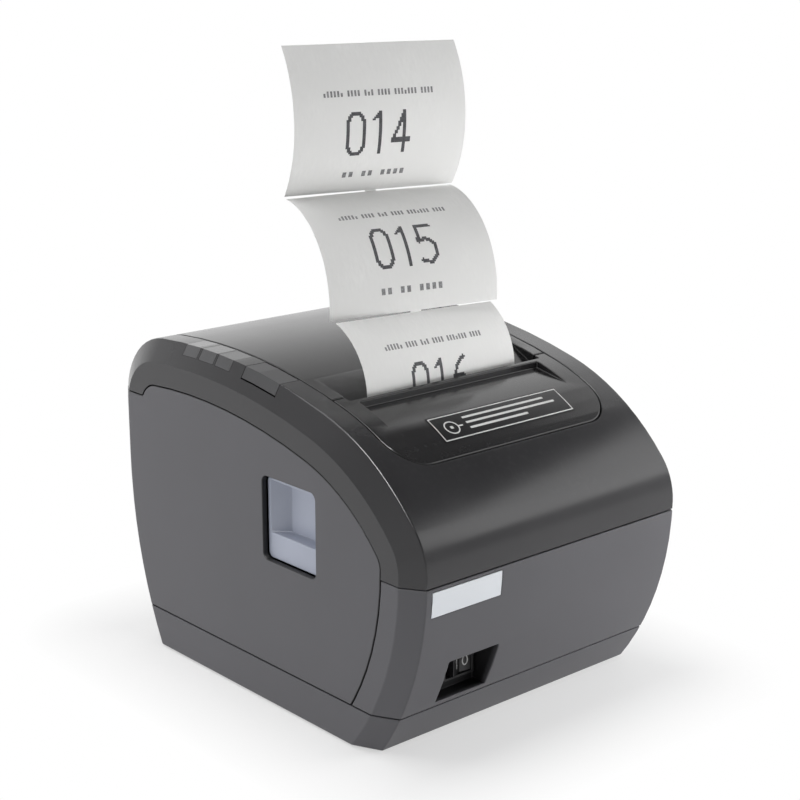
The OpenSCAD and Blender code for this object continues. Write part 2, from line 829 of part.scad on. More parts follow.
module lid_shell() color(cover_colour) placed() difference() {
    union() {
        intersection() {
            outer();
            box([-lid_half, lid_half], [lid_front + seam / 2, far], [rear_seam_z, far]);
            union() {
                difference() {
                    shell(wall);
                    translate([0, hinge_y, hinge_z]) rotate([knuckle_angle, 0, 0])
                        box([-far, far], [-far, far], [-far, 0]);
                }
                along_x(-ramp_half - 2, ramp_half + 2) intersection() {
                    polygon(profile(0));
                    ramp_side(ramp_t, false);
                    square([ramp_top + 3, far]);
                }
            }
        }
        rod(-lid_half, lid_half, [hinge_y, hinge_z], 2 * knuckle_r);
    }
    along_x(-ramp_half, ramp_half) intersection() {
        ramp_side(0, false);
        square([ramp_top + 3, far]);
    }
    rod(-lid_half + hinge_disc, lid_half - hinge_disc, [hinge_y, hinge_z], 2 * (knuckle_r - wall));
    rod(-far, far, [hinge_y, hinge_z], hinge_pin_d + 2 * run_fit);
}

module hinge_pins() color(steel_colour) placed() both()
    rod(lid_half - hinge_disc, edge_half - 3, [hinge_y, hinge_z], hinge_pin_d);

// Inner panel of the lid with the arms that carry the platen
module lid_liner() color(dark_colour) placed() difference() {
    union() {
        along_x(-ramp_half + 4, ramp_half - 4) intersection() {
            band(wall, wall + liner_t);
            translate([ramp_top + 3.2, body_h / 2]) square([opening_rear - ramp_top - 8, far]);
        }
        both() along_x(arm_x[0], arm_x[1]) intersection() {
            polygon(profile(wall));
            ramp_side(ramp_t, true);
            union() {
                translate(platen_c) circle(d = bush_d + 5);
                polygon([platen_c + [-6, 1.5], platen_c + [4, -6.4], [ramp_top + 16, dome_z(ramp_top) - 8],
                    [ramp_top + 16, body_h], platen_c + [-6, 14]]);
            }
        }
    }
    both() rod(arm_x[0] - 1, arm_x[1] + 1, platen_c, bush_d);
}

module platen_bushes() color(gear_colour) placed() both() difference() {
    rod(arm_x[0], latch_x[1] + 0.2, platen_c, bush_d);
    rod(0, far, platen_c, shaft_d + 2 * run_fit);
}

module fixed_blade() color(steel_colour) placed() on_cutter()
    box([-blade_half, blade_half], [0.6, 0.6 + fixed_blade_l], [ramp_under - blade_t, ramp_under]);

// Cutter cover

module cutter_cover() color(cover_colour) placed() difference() {
    intersection() {
        outer();
        prism(front_seam_z, far) cover_plan(seam);
        union() {
            shell(wall);
            along_x(-scoop_half - 2, scoop_half + 2) intersection() {
                polygon(profile(0));
                translate([scoop_front - 2, 0]) square([far, far]);
                scoop_side(2);
            }
        }
    }
    along_x(-scoop_half, scoop_half) intersection() {
        scoop_side(0);
        translate([scoop_front - 10, 0]) square([slot_front - lip_t - scoop_front + 10, far]);
    }
    box([-ramp_half, ramp_half], [slot_front, far], [0, far]);
}

// Half plane above the scoop's floor, lowered by a distance
function scoop_floor(y) = dome_z(scoop_front)
    + (y - scoop_front) * (dome_z(slot_front) - scoop_depth - dome_z(scoop_front)) / (slot_front - scoop_front);
module scoop_side(drop) polygon([
    [scoop_front - scoop_run, scoop_floor(scoop_front - scoop_run) - drop],
    [lid_front, scoop_floor(lid_front) - drop],
    [lid_front, far],
    [scoop_front - scoop_run, far]
]);

// Buttons

// The pocket's rear wall leans, and the plate below it is flush with the button's face
module open_button() color(button_colour) placed() {
    difference() {
        translate([button_x, button_y, button_z]) rotate([0, 90, 0]) linear_extrude(button_depth) button_plan(0);
        pocket_z = button_z - button_h / 2 + pocket_lip;
        prism(pocket_z, button_z + button_h / 2 - button_wall) polygon([
            [button_x - 1, button_y - button_w / 2 + button_wall],
            [button_x + pocket_depth, button_y - button_w / 2 + button_wall],
            [button_x + pocket_depth, button_y + button_w / 2 - button_wall - pocket_depth],
            [button_x, button_y + button_w / 2 - button_wall],
            [button_x - 1, button_y + button_w / 2 - button_wall]
        ]);
    }
    rod(button_x + button_depth - eps, stem_x, [button_y, button_z], stem_d);
    button_cam();
}

// Wedge on the button's back that pushes the finger of the latch shaft
module button_cam() {
    back = button_x + button_depth - eps;
    front = button_y - button_w / 2 + button_wall;
    reach = finger_end[0] - finger_tip_r - cam_gap - front;
    tip = finger_x[0] + reach - cam_nose;
    prism(finger_end[1] - cam_t + 1, finger_end[1] + 1)
        polygon([[back, front], [tip, front], [tip, front + cam_nose], [back, front + cam_nose + tip - back]]);
}

// Outline of the button, widened by a gap for the hole that it sits in
module button_plan(gap) {
    r = button_corner_r + gap;
    h = button_h + 2 * gap;
    w = button_w + 2 * gap;
    square([h - 2 * r, w], center = true);
    square([h, w - 2 * r], center = true);
    for (x = [-1, 1], y = [-1, 1]) translate([x * (h / 2 - r), y * (w / 2 - r)]) circle(r);
}

module open_button_spring() color(steel_colour) placed() difference() {
    rod(button_x + button_depth, -frame_x - frame_t, [button_y, button_z], stem_d + 2 * spring_wall + 0.6);
    rod(-far, 0, [button_y, button_z], stem_d + 0.6);
}

module feed_button() color(button_colour) placed() {
    strip_cap([feed_y, feed_y + feed_l]);
    translate([strip_mid, feed_mid, plunger_z])
        cylinder(d = plunger_d, h = dome_z(feed_mid) - wrap_drop - plunger_z + 1.7);
}

module indicator_windows() color(paper_colour) placed() for (i = [0:2]) strip_cap(window_span(i));

module button_board() color(board_colour) placed() {
    box(panel_board_x, [feed_y - 2, hanger_y[1] + hanger_l], [panel_board_z, panel_board_z + panel_board_t]);
    for (i = [0:2]) translate([strip_mid, window_mid(i), panel_board_z + panel_board_t - eps])
        cylinder(d = lamp_d, h = dome_z(window_mid(i)) - wrap_drop - panel_board_z - panel_board_t - 0.2);
}

module feed_switch() color(dark_colour) placed()
    translate([strip_mid, feed_mid, panel_board_z + panel_board_t]) difference() {
        translate([-feed_switch_w / 2, -3, 0]) cube([feed_switch_w, 6, feed_switch_h]);
        translate([0, 0, feed_switch_h - 0.4]) cylinder(d = plunger_d + 0.4, h = 1);
    }

// Power switch

module switch_body() color(dark_colour) placed() difference() {
    union() {
        box([rocker_x - bezel_w / 2, rocker_x + bezel_w / 2], [recess_floor - bezel_t, recess_floor],
            [rocker_z - bezel_h / 2, rocker_z + bezel_h / 2]);
        box([rocker_x - rocker_w / 2 - 0.8, rocker_x + rocker_w / 2 + 0.8],
            [recess_floor - eps, recess_floor + switch_depth],
            [rocker_z - rocker_h / 2 - 0.8, rocker_z + rocker_h / 2 + 0.8]);
    }
    box([rocker_x - rocker_w / 2 - rocker_gap, rocker_x + rocker_w / 2 + rocker_gap], [0, recess_floor + 8],
        [rocker_z - rocker_h / 2 - rocker_gap, rocker_z + rocker_h / 2 + rocker_gap]);
    translate([rocker_x, pivot_y, rocker_z - bezel_h / 2 + 0.5])
        cylinder(d = pivot_d + 2 * run_fit, h = bezel_h - 1);
}

module power_rocker() color(dark_colour) placed() translate([rocker_x, pivot_y, rocker_z]) {
    rotate([0, 0, rocker_throw / 2]) translate([0, 0, -rocker_h / 2]) linear_extrude(rocker_h)
        polygon([[-rocker_tip, -rocker_rise], [0, 1.6 - rocker_rise], [rocker_tip, -rocker_rise],
            [rocker_tip, -2], [2, 2], [-2, 2], [-rocker_tip, -2]]);
    translate([0, 0, -rocker_h / 2 - 0.7]) cylinder(d = pivot_d, h = rocker_h + 1.4);
}

// Main board and ports

module main_board() color(board_colour) placed() difference() {
    union() {
        box([-board_half, board_half], [board_front, board_rear], [board_z, board_z + board_t]);
        translate([-8, board_mid - 4, board_z + board_t - eps]) cube([chip_w, chip_w, chip_t]);
        translate([chip_w, board_mid - 12, board_z + board_t - eps]) cube([chip_w / 2, chip_w * 0.7, chip_t]);
        for (i = [-1:1]) translate([board_half - 3.4, board_mid + 10 * i, board_z + board_t - eps])
            cylinder(d = cap_d, h = cap_h);
    }
    for (p = board_posts()) translate([p[0], p[1], 0]) cylinder(d = screw_d + 0.4, h = far);
}

module board_screws() color(steel_colour) placed() for (p = board_posts()) translate([p[0], p[1], 0]) {
    translate([0, 0, board_z + board_t]) cylinder(d = screw_head_d, h = 1.8);
    translate([0, 0, board_z - 6]) cylinder(d = screw_d, h = 6 + board_t + eps);
}

module port(x, size) difference() {
    box([x - size[0] / 2, x + size[0] / 2], [port_y, port_out], [port_base, port_base + size[1]]);
    translate([x, port_out, port_base + size[1] / 2]) children();
}

module socket(size, depth) translate([-size[0] / 2, -depth, -size[1] / 2]) cube([size[0], depth + 1, size[1]]);

module dc_inlet() color(dark_colour) placed() port(dc_x, dc_size) difference() {
    rotate([90, 0, 0]) translate([0, 0, -1]) cylinder(d = 10, h = 11);
    rotate([90, 0, 0]) cylinder(d = 2.4, h = 12);
}

module usb_port() color(steel_colour) placed() port(usb_x, usb_size) difference() {
    socket([8.6, 7.8], 10);
    translate([-3, -11, -1.6]) cube([6, 9, 3.2]);
}

module lan_port() color(steel_colour) placed() port(lan_x, lan_size) socket([11.8, 8.4], 12);

module drawer_port() color(dark_colour) placed() port(drawer_x, drawer_size) socket([9.8, 7], 11);

// Paper

module paper_bin() color(dark_colour) placed() difference() {
    union() {
        along_x(-bin_half - bin_wall, bin_half + bin_wall) bin_plan(bin_wall);
        box([-leg_x - leg_w / 2, leg_x + leg_w / 2], flange_y, [bin_top - 2, bin_top]);
        both() for (y = leg_y) box([leg_x - leg_w / 2, leg_x + leg_w / 2], [y, y + 8], [floor_z, bin_top - 1]);
    }
    along_x(-bin_half, bin_half) bin_plan(0);
    box([-bin_half - 3, bin_half + 3], [0, bin_y - bin_d / 2 + eps], [bin_guide_top, far]);
    translate([0, sensor_y + 3, sensor_z]) rotate([90, 0, 0]) cylinder(d = sensor_d + 0.2, h = 10);
}

module bin_plan(t) {
    translate([bin_y, bin_z]) circle(d = bin_d + 2 * t, $fn = 96);
    translate([bin_y - bin_d / 2 - t, bin_z]) square([bin_d + 2 * t, bin_top - bin_z + (t == 0 ? far : 0)]);
}

module paper_roll() color(paper_colour) placed() difference() {
    rod(-paper_w / 2, paper_w / 2, [bin_y, roll_z], roll_d);
    rod(-far, far, [bin_y, roll_z], core_d);
}

module roll_core() color([0.72, 0.58, 0.42]) placed() difference() {
    rod(-paper_w / 2, paper_w / 2, [bin_y, roll_z], core_d);
    rod(-far, far, [bin_y, roll_z], core_d - 2 * core_t);
}

module paper_sensor() color(dark_colour) placed()
    translate([0, sensor_y, sensor_z]) rotate([90, 0, 0]) {
        cylinder(d = sensor_d, h = sensor_l + 1);
        translate([0, 0, sensor_l]) cylinder(r = sensor_r, h = 2.5);
    }

// One slip bends along an arc that starts at the origin, moves sideways and may end in a slanted tear
function slip_angle(s, t) = slip_start[s] - slip_turn[s] * t;
function slip_normal(s, t) = [sin(slip_angle(s, t)), -cos(slip_angle(s, t))];
function slip_at(s, t) = slip_l[s] * 180 / PI / slip_turn[s] * (slip_normal(s, 0) - slip_normal(s, t));
function slip_edge(s, side, t, away) =
    let (u = t - t * side * slip_slant[s] / slip_l[s] / 2, p = slip_at(s, u) + away * slip_normal(s, u))
        [side * paper_w / 2 + slip_shift[s] * u, p[0], p[1]];

module slip(s) polyhedron(
    [
        for (i = [0:slip_steps], c = [[-1, 0], [1, 0], [1, paper_t], [-1, paper_t]])
            slip_edge(s, c[0], i / slip_steps, c[1])
    ],
    concat(
        [[0, 1, 2, 3], [for (k = [3:-1:0]) 4 * slip_steps + k]],
        [for (i = [0:slip_steps - 1], k = [0:3]) let (a = 4 * i + k) [a, a + 4, 4 * i + 4 + (k + 1) % 4]],
        [for (i = [0:slip_steps - 1], k = [0:3]) let (b = 4 * i + (k + 1) % 4) [4 * i + k, b + 4, b]]
    )
);

module above_slip(s) translate([slip_shift[s], slip_at(s, 1)[0], slip_at(s, 1)[1] + tear_gap])
    rotate([0, 0, slip_skew[s + 1]]) {
        slip(s + 1);
        bridge();
        children();
    }

module receipt_strip() color(paper_colour) placed() translate([0, strip_y, strip_z]) {
    slip(0);
    above_slip(0) above_slip(1);
}

// Uncut paper that still joins one slip to the next
module bridge() translate([0, paper_t / 2, -tear_gap / 2]) cube([bridge_w, bridge_t, bridge_t], center = true);

// Mechanism

module mechanism_frame() color(steel_colour) placed() difference() {
    union() {
        both() along_x(frame_x, frame_x + frame_t) frame_side();
        box([-frame_x - eps, frame_x + eps], [frame_front, floor_rear], [frame_z, frame_z + frame_t]);
        box([-frame_x - eps, frame_x + eps], [frame_front + 2, frame_front + 2 + frame_t],
            [frame_z, spring_z + spring_d / 2 - 0.2]);
    }
    rod(-far, far, latch_c, latch_d + 2 * run_fit);
    rod(0, far, idler_c, idler_pin_d);
    rod(0, far, pinion_c, motor_boss_d + 0.4);
    rod(frame_x - motor_l - 1, frame_x, pinion_c, motor_d + 1);
    box([rack_x - 2, rack_x + rack_w + 1], [frame_front, frame_front + 6], [spring_z - spring_d, far]);
}

// Outline of a side plate, with a slot for the platen's bush and a slanted seat for the cutter
module frame_side() difference() {
    intersection() {
        polygon([[frame_front, frame_z], [frame_rear, frame_z], [frame_rear, frame_top], [cut_y - 2, frame_top],
            [frame_nose[0], frame_top], frame_nose]);
        union() {
            translate([cut_y - 1, 0]) square([far, far]);
            cutter_side(plate_top - cutter_plate);
        }
    }
    translate(platen_c) circle(bush_slot);
    translate(platen_c - [bush_slot, 0]) square([2 * bush_slot, far]);
}

module cutter_side(w) translate([cut_y, cut_z]) rotate(cutter_tilt) translate([-far, w - far])
    square([2 * far, far]);

module print_head() color(gear_colour) placed() box([-head_half, head_half], [head_y - head_t, head_y], head_z);

module heat_sink() color(steel_colour) placed()
    box([-head_half, head_half], [head_y - head_t - sink_t, head_y - head_t], [head_z[0] + 1, head_z[1]]);

module head_springs() color(steel_colour) placed() both() difference() {
    along_y([frame_front + 2 + frame_t, head_y - head_t - sink_t], spring_d);
    along_y([0, far], spring_d - 1.6);
}

module along_y(y, d) translate([spring_x, y[0], spring_z]) rotate([-90, 0, 0]) cylinder(d = d, h = y[1] - y[0]);

module platen_shaft() color(steel_colour) placed() rod(-latch_x[1] - 2, gear_x[1] + 1, platen_c, shaft_d);

module platen_rubber() color(dark_colour) placed() difference() {
    rod(-rubber_half, rubber_half, platen_c, platen_d);
    rod(-far, far, platen_c, shaft_d);
}

module platen_gear() color(gear_colour) placed() gear_along_x(gear_x, platen_c, platen_teeth, 270, shaft_d);

module idler_gear() color(gear_colour) placed()
    gear_along_x(gear_x, idler_c, idler_teeth, idler_phase, idler_pin_d + 2 * run_fit);

module idler_axle() color(steel_colour) placed() {
    rod(frame_x, gear_x[1] + 1.2, idler_c, idler_pin_d);
    rod(frame_x + frame_t, gear_x[0] - 0.3, idler_c, idler_pin_d + 3);
}

module motor_pinion() color(steel_colour) placed() {
    gear_along_x(gear_x, pinion_c, pinion_teeth, pinion_phase, motor_shaft_d);
    rod(frame_x - 6, gear_x[1], pinion_c, motor_shaft_d);
}

module feed_motor() color(steel_colour) placed() difference() {
    union() {
        rod(frame_x - motor_l, frame_x, pinion_c, motor_d);
        rod(frame_x - eps, frame_x + frame_t, pinion_c, motor_boss_d);
    }
    rod(frame_x - 8, far, pinion_c, motor_shaft_d + 2 * run_fit);
}

module latch_shaft() color(steel_colour) placed() rod(finger_x[0] - 1, latch_x[1], latch_c, latch_d);

// Levers beside the platen's bushes, and a finger that the side button works
module latch_levers() color(steel_colour) placed() {
    both() along_x(latch_x[0], latch_x[1]) lever_plan([platen_y - bush_d / 2 - 2.6, platen_z + 6]);
    along_x(finger_x[0], finger_x[1]) lever_plan(finger_end);
}

module lever_plan(nose) difference() {
    hull() {
        translate(latch_c) circle(latch_d / 2 + 2.5);
        translate(nose) circle(finger_tip_r);
    }
    translate(latch_c) circle(d = latch_d);
}

// Cutter

module cutter_frame() color(steel_colour) placed() on_cutter() difference() {
    union() {
        box([-cutter_half, cutter_half], [cutter_back, cutter_front], [plate_top - cutter_plate, plate_top]);
        both() box([blade_half + blade_gap, cutter_half], [blade_root - blade_gap - 1, cutter_front],
            [plate_top - eps, plate_top + blade_t]);
    }
    box([rack_x - gear_m - 0.4, rack_x + rack_w + 0.4], [rack_run[0] - 0.6, rack_run[1] + blade_travel + 0.6],
        [-far, far]);
    translate([cutter_gear_x, gear_u, -far / 2]) cylinder(d = cutter_axle_d, h = far);
    translate([cutter_pinion_x, gear_u, -far / 2]) cylinder(d = 4, h = far);
}

// Blade with a shallow V edge, and the rack below it
module cutter_blade() color(steel_colour) placed() on_cutter() {
    translate([0, 0, -blade_t / 2]) linear_extrude(blade_t) polygon([
        [-blade_half, blade_root],
        [blade_half, blade_root],
        [blade_half, blade_tip],
        [0, blade_tip - 2.5],
        [-blade_half, blade_tip]
    ]);
    translate([0, 0, -rack_h]) linear_extrude(rack_h - blade_t / 2 + eps) rack_plan();
    box([rack_x, rack_x + rack_w], [rack_run[0], blade_root + 1], [-blade_t / 2 - 1, blade_t / 2]);
}

module rack_plan() {
    pitch = PI * gear_m;
    count = floor((rack_run[1] - rack_run[0]) / pitch / 2);
    difference() {
        translate([rack_x - tooth_top * gear_m, rack_run[0]])
            square([rack_w + tooth_top * gear_m, rack_run[1] - rack_run[0]]);
        for (i = [-count - 2:count + 2]) translate([rack_x, gear_u + i * pitch]) rack_gap();
    }
}

// Space between two of the rack's teeth
module rack_gap() polygon([
    [-3, -1.4 * gear_m],
    [-tooth_top * gear_m, -1.1 * gear_m],
    [tooth_root * gear_m, -0.4 * gear_m],
    [tooth_root * gear_m, 0.4 * gear_m],
    [-tooth_top * gear_m, 1.1 * gear_m],
    [-3, 1.4 * gear_m]
]);

module cutter_gear() color(gear_colour) placed() on_cutter() translate([cutter_gear_x, gear_u, cutter_gear_low])
    linear_extrude(cutter_gear_t) difference() {
        gear_plan(cutter_teeth, 0);
        circle(d = cutter_axle_d + 2 * run_fit);
    }

module cutter_axle() color(steel_colour) placed() on_cutter()
    translate([cutter_gear_x, gear_u, cutter_gear_low - 1])
        cylinder(d = cutter_axle_d, h = plate_top - cutter_gear_low + 1);

module cutter_pinion() color(steel_colour) placed() on_cutter()
    translate([cutter_pinion_x, gear_u, cutter_gear_low]) {
        linear_extrude(cutter_gear_t) difference() {
            gear_plan(cutter_pinion_teeth, 180 / cutter_pinion_teeth);
            circle(d = motor_shaft_d);
        }
        translate([0, 0, -pinion_tail]) cylinder(d = motor_shaft_d, h = cutter_gear_t + pinion_tail);
    }

module cutter_motor() color(steel_colour) placed() on_cutter() translate([cutter_pinion_x, gear_u, 0])
    difference() {
        union() {
            translate([0, 0, cutter_motor_top - cutter_motor_l])
                cylinder(d = cutter_motor_d, h = cutter_motor_l);
            for (side = [-1, 1])
                translate([-2, side * (cutter_motor_d / 2 - 0.7) - 0.7, cutter_motor_top - eps])
                    cube([4, 1.4, plate_top - cutter_plate - cutter_motor_top + eps]);
        }
        translate([0, 0, cutter_gear_low - pinion_tail - tail_gap])
            cylinder(d = motor_shaft_d + 2 * run_fit, h = far);
    }

base_tray();
front_panel();
rear_panel();
top_shell();
left_side_panel();
right_side_panel();
lid_shell();
lid_liner();
hinge_pins();
cutter_cover();
badge_plate();
rubber_feet();
case_screws();
open_button();
open_button_spring();
feed_button();
indicator_windows();
button_board();
feed_switch();
switch_body();
power_rocker();
main_board();
board_screws();
dc_inlet();
usb_port();
lan_port();
drawer_port();
paper_bin();
paper_roll();
roll_core();
paper_sensor();
receipt_strip();
mechanism_frame();
print_head();
heat_sink();
head_springs();
platen_shaft();
platen_rubber();
platen_gear();
platen_bushes();
idler_gear();
idler_axle();
motor_pinion();
feed_motor();
latch_shaft();
latch_levers();
cutter_frame();
cutter_blade();
fixed_blade();
cutter_gear();
cutter_axle();
cutter_pinion();
cutter_motor();
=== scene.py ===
"""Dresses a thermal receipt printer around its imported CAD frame.

Named lengths are millimetres, with y counted from the nose; at() turns them into the frame's metres.
"""

import functools
from math import asin, copysign, cos, radians, sin, sqrt, tan, tau
from typing import NamedTuple

import bpy
from bpy.props import FloatProperty, FloatVectorProperty, IntProperty, PointerProperty
from mathutils import Matrix, Vector


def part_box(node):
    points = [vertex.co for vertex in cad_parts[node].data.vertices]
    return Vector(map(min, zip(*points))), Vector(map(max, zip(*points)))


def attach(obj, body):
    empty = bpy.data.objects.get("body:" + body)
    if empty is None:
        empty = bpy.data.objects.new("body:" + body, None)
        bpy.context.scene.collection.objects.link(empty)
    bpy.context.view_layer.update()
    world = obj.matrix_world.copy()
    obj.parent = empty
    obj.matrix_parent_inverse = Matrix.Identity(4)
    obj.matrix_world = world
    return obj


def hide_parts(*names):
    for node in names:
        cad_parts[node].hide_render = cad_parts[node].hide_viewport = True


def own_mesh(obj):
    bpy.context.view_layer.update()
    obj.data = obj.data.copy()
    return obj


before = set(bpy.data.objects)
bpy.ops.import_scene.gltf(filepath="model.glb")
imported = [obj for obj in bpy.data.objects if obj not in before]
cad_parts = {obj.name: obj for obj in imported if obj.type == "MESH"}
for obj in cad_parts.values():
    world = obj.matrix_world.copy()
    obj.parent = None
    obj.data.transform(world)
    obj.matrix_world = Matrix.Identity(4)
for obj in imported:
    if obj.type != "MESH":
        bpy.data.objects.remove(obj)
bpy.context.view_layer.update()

bl_info = {
    "name": "Receipt printer",
    "version": (1, 0, 0),
    "blender": (4, 5, 0),
    "location": "View3D > Sidebar > Printer",
    "description": "Dresses a thermal receipt printer around its packed CAD frame",
    "category": "Object",
}

MM = 0.001

# The body's outline, as in the CAD source
BODY_DEPTH = 190
SIDE_HALF = 72.5
CROWN_HEIGHT = 136
NOSE_RADIUS, NOSE_HEIGHT, NOSE_TURN = 27, 75.3, radians(40)
BROW_RADIUS, CROWN_RADIUS = 101, 300
BROW_CENTRE = Vector((NOSE_RADIUS, NOSE_HEIGHT)) + (BROW_RADIUS - NOSE_RADIUS) * Vector(
    (cos(NOSE_TURN), -sin(NOSE_TURN))
)
BROW_TURN = asin((BROW_CENTRE.y + CROWN_RADIUS - CROWN_HEIGHT) / (CROWN_RADIUS - BROW_RADIUS))
CROWN_CENTRE = BROW_CENTRE + (CROWN_RADIUS - BROW_RADIUS) * Vector(
    (cos(BROW_TURN), -sin(BROW_TURN))
)

# The slot, its ramp and the strip of receipts, as in the CAD source
LID_FRONT, SEAM = 64, 0.45
RAMP_LENGTH, RAMP_TILT = 16.5, radians(26)
STRIP_DEPTH, STRIP_GAP, STRIP_DROP = 0.3, 0.16, 0.9
PAPER_WIDTH = 79.5
TEAR_GAP, BRIDGE_HALF = 0.4, 2.6

# The paper itself: thickness, ripple, and the foot that lies flat before the ripple grows
SHEET = 0.1
RIPPLE, RIPPLE_PITCH = 0.16, 13
FLAT_FOOT, RIPPLE_GROWTH = 4, 14

# The layout of a receipt's print
PRINT_LIFT, PRINT_END, INK_REACH = 0.03, 0.2, 1.05
LINE_TOPS = {"upper": 19.5, "middle": 20.0, "lower": 13.9}
LINE_WORDS, LINE_PITCH, LINE_HEIGHT, LINE_SHIFT = (6, 4, 3, 4, 7, 4), 1.55, 2.4, -0.6
DATE_WORDS, DATE_PITCH, DATE_HEIGHT, DATE_SHIFT = (2, 2, 4), 3.0, 2.6, -1.2
DIGITS_BELOW, DIGITS_LEFT, DIGIT_PITCH, DATE_BELOW = 8.6, -16.4, 10.5, 7.4

# The power rocker and its recess, as in the CAD source; the recess's painted shade starts on a plane that
# leans like the front
ROCKER_X, ROCKER_Y, ROCKER_Z = -33.5, 22.6, 28.75
ROCKER_TILT = radians(10)
ROCKER_CREASE, ROCKER_TIP = (0, -3.6), (5.5, -5.2)
RECESS_X, RECESS_HALF_WIDTH, RECESS_HALF_HEIGHT = -37.75, 12.85, 9.35
RECESS_LEAN, RECESS_SHADE = 0.3995, (21.2, 23.5)

# The indicator windows and the strip of controls round them, as in the CAD source
WINDOW_START, WINDOW_PITCH, WINDOW_HALF = 112, 11, 5
# The windows' inner end, and the width of the painted shade along their ends and inner side
WINDOW_INNER, WINDOW_LINE = -58.4, 0.4
CONTROLS_INNER, CONTROLS_SPAN = -57.2, (81.5, 145.5)

# Real edges, and how far across the dome they are rounded
SHARP_ANGLE, EDGE_ANGLE, FLAT_ANGLE = radians(22), radians(24), radians(0.05)
DOME_HALF = 68.5


class SlipShape(NamedTuple):
    """A receipt's bend, its turn from the one below, its drift, its top's slant and its ripple's phase."""

    length: float
    turn: float
    start: float
    skew: float
    shift: float
    slant: float
    wave: float


SLIPS = {
    "lower": SlipShape(34.8, 67, 93, 0, 0, 4.3, 0.4),
    "middle": SlipShape(64.5, 85, 89, -9, 3.7, 0, 2.1),
    "upper": SlipShape(64.5, 73, 130, -2, -2, 0, 3.7),
}


def at(x, y, z):
    """A place in the frame, from millimetres with y counted from the nose."""
    return Vector((x, y - BODY_DEPTH / 2, z)) * MM


def dome_height(y):
    """Height of the dome over a place between the brow and the shoulder."""
    if y < CROWN_CENTRE.x - CROWN_RADIUS * cos(BROW_TURN):
        centre, radius = BROW_CENTRE, BROW_RADIUS
    else:
        centre, radius = CROWN_CENTRE, CROWN_RADIUS
    return centre.y + sqrt(radius**2 - (y - centre.x) ** 2)


def dome_normal(y):
    """Direction square to the dome at a place between the brow and the shoulder."""
    slope = (dome_height(y + 0.05) - dome_height(y - 0.05)) / 0.1
    return Vector((0, -slope, 1)).normalized()


# Sizes and colours


def colour_property(name, description, default):
    return FloatVectorProperty(name=name, description=description, subtype="COLOR", size=3, default=default)


def length_property(name, description, default):
    return FloatProperty(name=name, description=description, subtype="DISTANCE", default=default, min=0.0001)


def power_property(name, description, default):
    return FloatProperty(name=name, description=description, subtype="POWER", default=default, min=0.0)


class PrinterFinish(bpy.types.PropertyGroup):
    """Colours and surface sizes of the printer's plastics and paper"""

    shell_colour: colour_property("Shell", "Charcoal plastic of the case", (0.076, 0.075, 0.083))
    dome_colour: colour_property("Dome", "Darker satin plastic of the top shell", (0.025, 0.0245, 0.0265))
    cover_colour: colour_property("Cover", "Darker plastic of the lid and cover", (0.018, 0.0175, 0.0185))
    button_colour: colour_property("Button", "Pale plastic of the release button", (0.34, 0.365, 0.44))
    paper_colour: colour_property("Paper", "Thermal paper", (0.78, 0.78, 0.77))
    ink_colour: colour_property("Print", "Darkened thermal coat", (0.055, 0.055, 0.06))
    rounding: length_property("Edge rounding", "Radius of the moulded edges", 0.0005)


class PrinterPrint(bpy.types.PropertyGroup):
    """Sizes of what is printed on the receipts"""

    first_number: IntProperty(
        name="First number", description="Queue number on the upper receipt", default=14, min=0
    )
    digit_height: length_property("Digit height", "Height of the large digits", 0.0182)
    digit_width: length_property("Digit width", "Width of one large digit", 0.009)
    dot: length_property("Dot", "Side of one printed dot", 0.00075)


class PrinterStage(bpy.types.PropertyGroup):
    """Light and camera of the plain studio"""

    floor_colour: colour_property("Floor", "Pale floor", (0.9, 0.9, 0.9))
    key_power: power_property("Key", "Power of the overhead lamp", 8)
    front_power: power_property("Front", "Power of the soft box before the dome", 2)
    rear_power: power_property("Rear", "Power of the soft box behind the dome", 0.9)
    right_power: power_property("Right", "Power of the low fill on the right", 1.25)
    left_power: power_property("Left", "Power of the low fill on the left", 1.55)
    rim_power: power_property("Rim", "Power of the strip that the rims mirror", 20)
    lens: FloatProperty(name="Lens", description="Focal length of the camera", unit="CAMERA", default=76.6)


# Node trees


def feed(tree, made, inputs):
    """Sets or links a node's inputs by name or number."""
    for key, value in inputs.items():
        if isinstance(value, bpy.types.NodeSocket):
            tree.links.new(value, made.inputs[key])
        else:
            made.inputs[key].default_value = value
    return made


def add_node(tree, kind, inputs=None, **settings):
    """A node with settings and inputs; its kind is a full name, or a shader node's without the prefix."""
    made = tree.nodes.new(kind if "Node" in kind else "ShaderNode" + kind)
    for name, value in settings.items():
        setattr(made, name, value)
    return feed(tree, made, inputs or {})


def new_group(name, inputs, *outputs):
    """An empty shader group with named float inputs (name: default) and float outputs."""
    group = bpy.data.node_groups.new(name, "ShaderNodeTree")
    for label, value in inputs.items():
        socket = group.interface.new_socket(label, in_out="INPUT", socket_type="NodeSocketFloat")
        socket.default_value = value
    for label in outputs:
        group.interface.new_socket(label, in_out="OUTPUT", socket_type="NodeSocketFloat")
    return group, group.nodes.new("NodeGroupInput"), group.nodes.new("NodeGroupOutput")


def place_on(tree):
    """The place on the part in the frame's metres, as a vector."""
    return add_node(tree, "TexCoord").outputs["Object"]


def axes_of(tree, vector):
    """A vector's outputs X, Y and Z."""
    return add_node(tree, "SeparateXYZ", {0: vector}).outputs


def noise(tree, scale, detail=2.0, stretch=None):
    """A noise value over the part's own coordinates, which may be stretched."""
    where = place_on(tree)
    if stretch:
        where = add_node(tree, "Mapping", {"Vector": where, "Scale": stretch}).outputs["Vector"]
    made = add_node(tree, "TexNoise", {"Vector": where, "Scale": scale, "Detail": detail})
    return made.outputs["Fac"]


def ramp(tree, value, low, high, to_low=0.0, to_high=1.0):
    """A value remapped from one range to another and held at its ends."""
    inputs = {"Value": value, 1: low, 2: high, 3: to_low, 4: to_high}
    return add_node(tree, "MapRange", inputs, clamp=True).outputs["Result"]


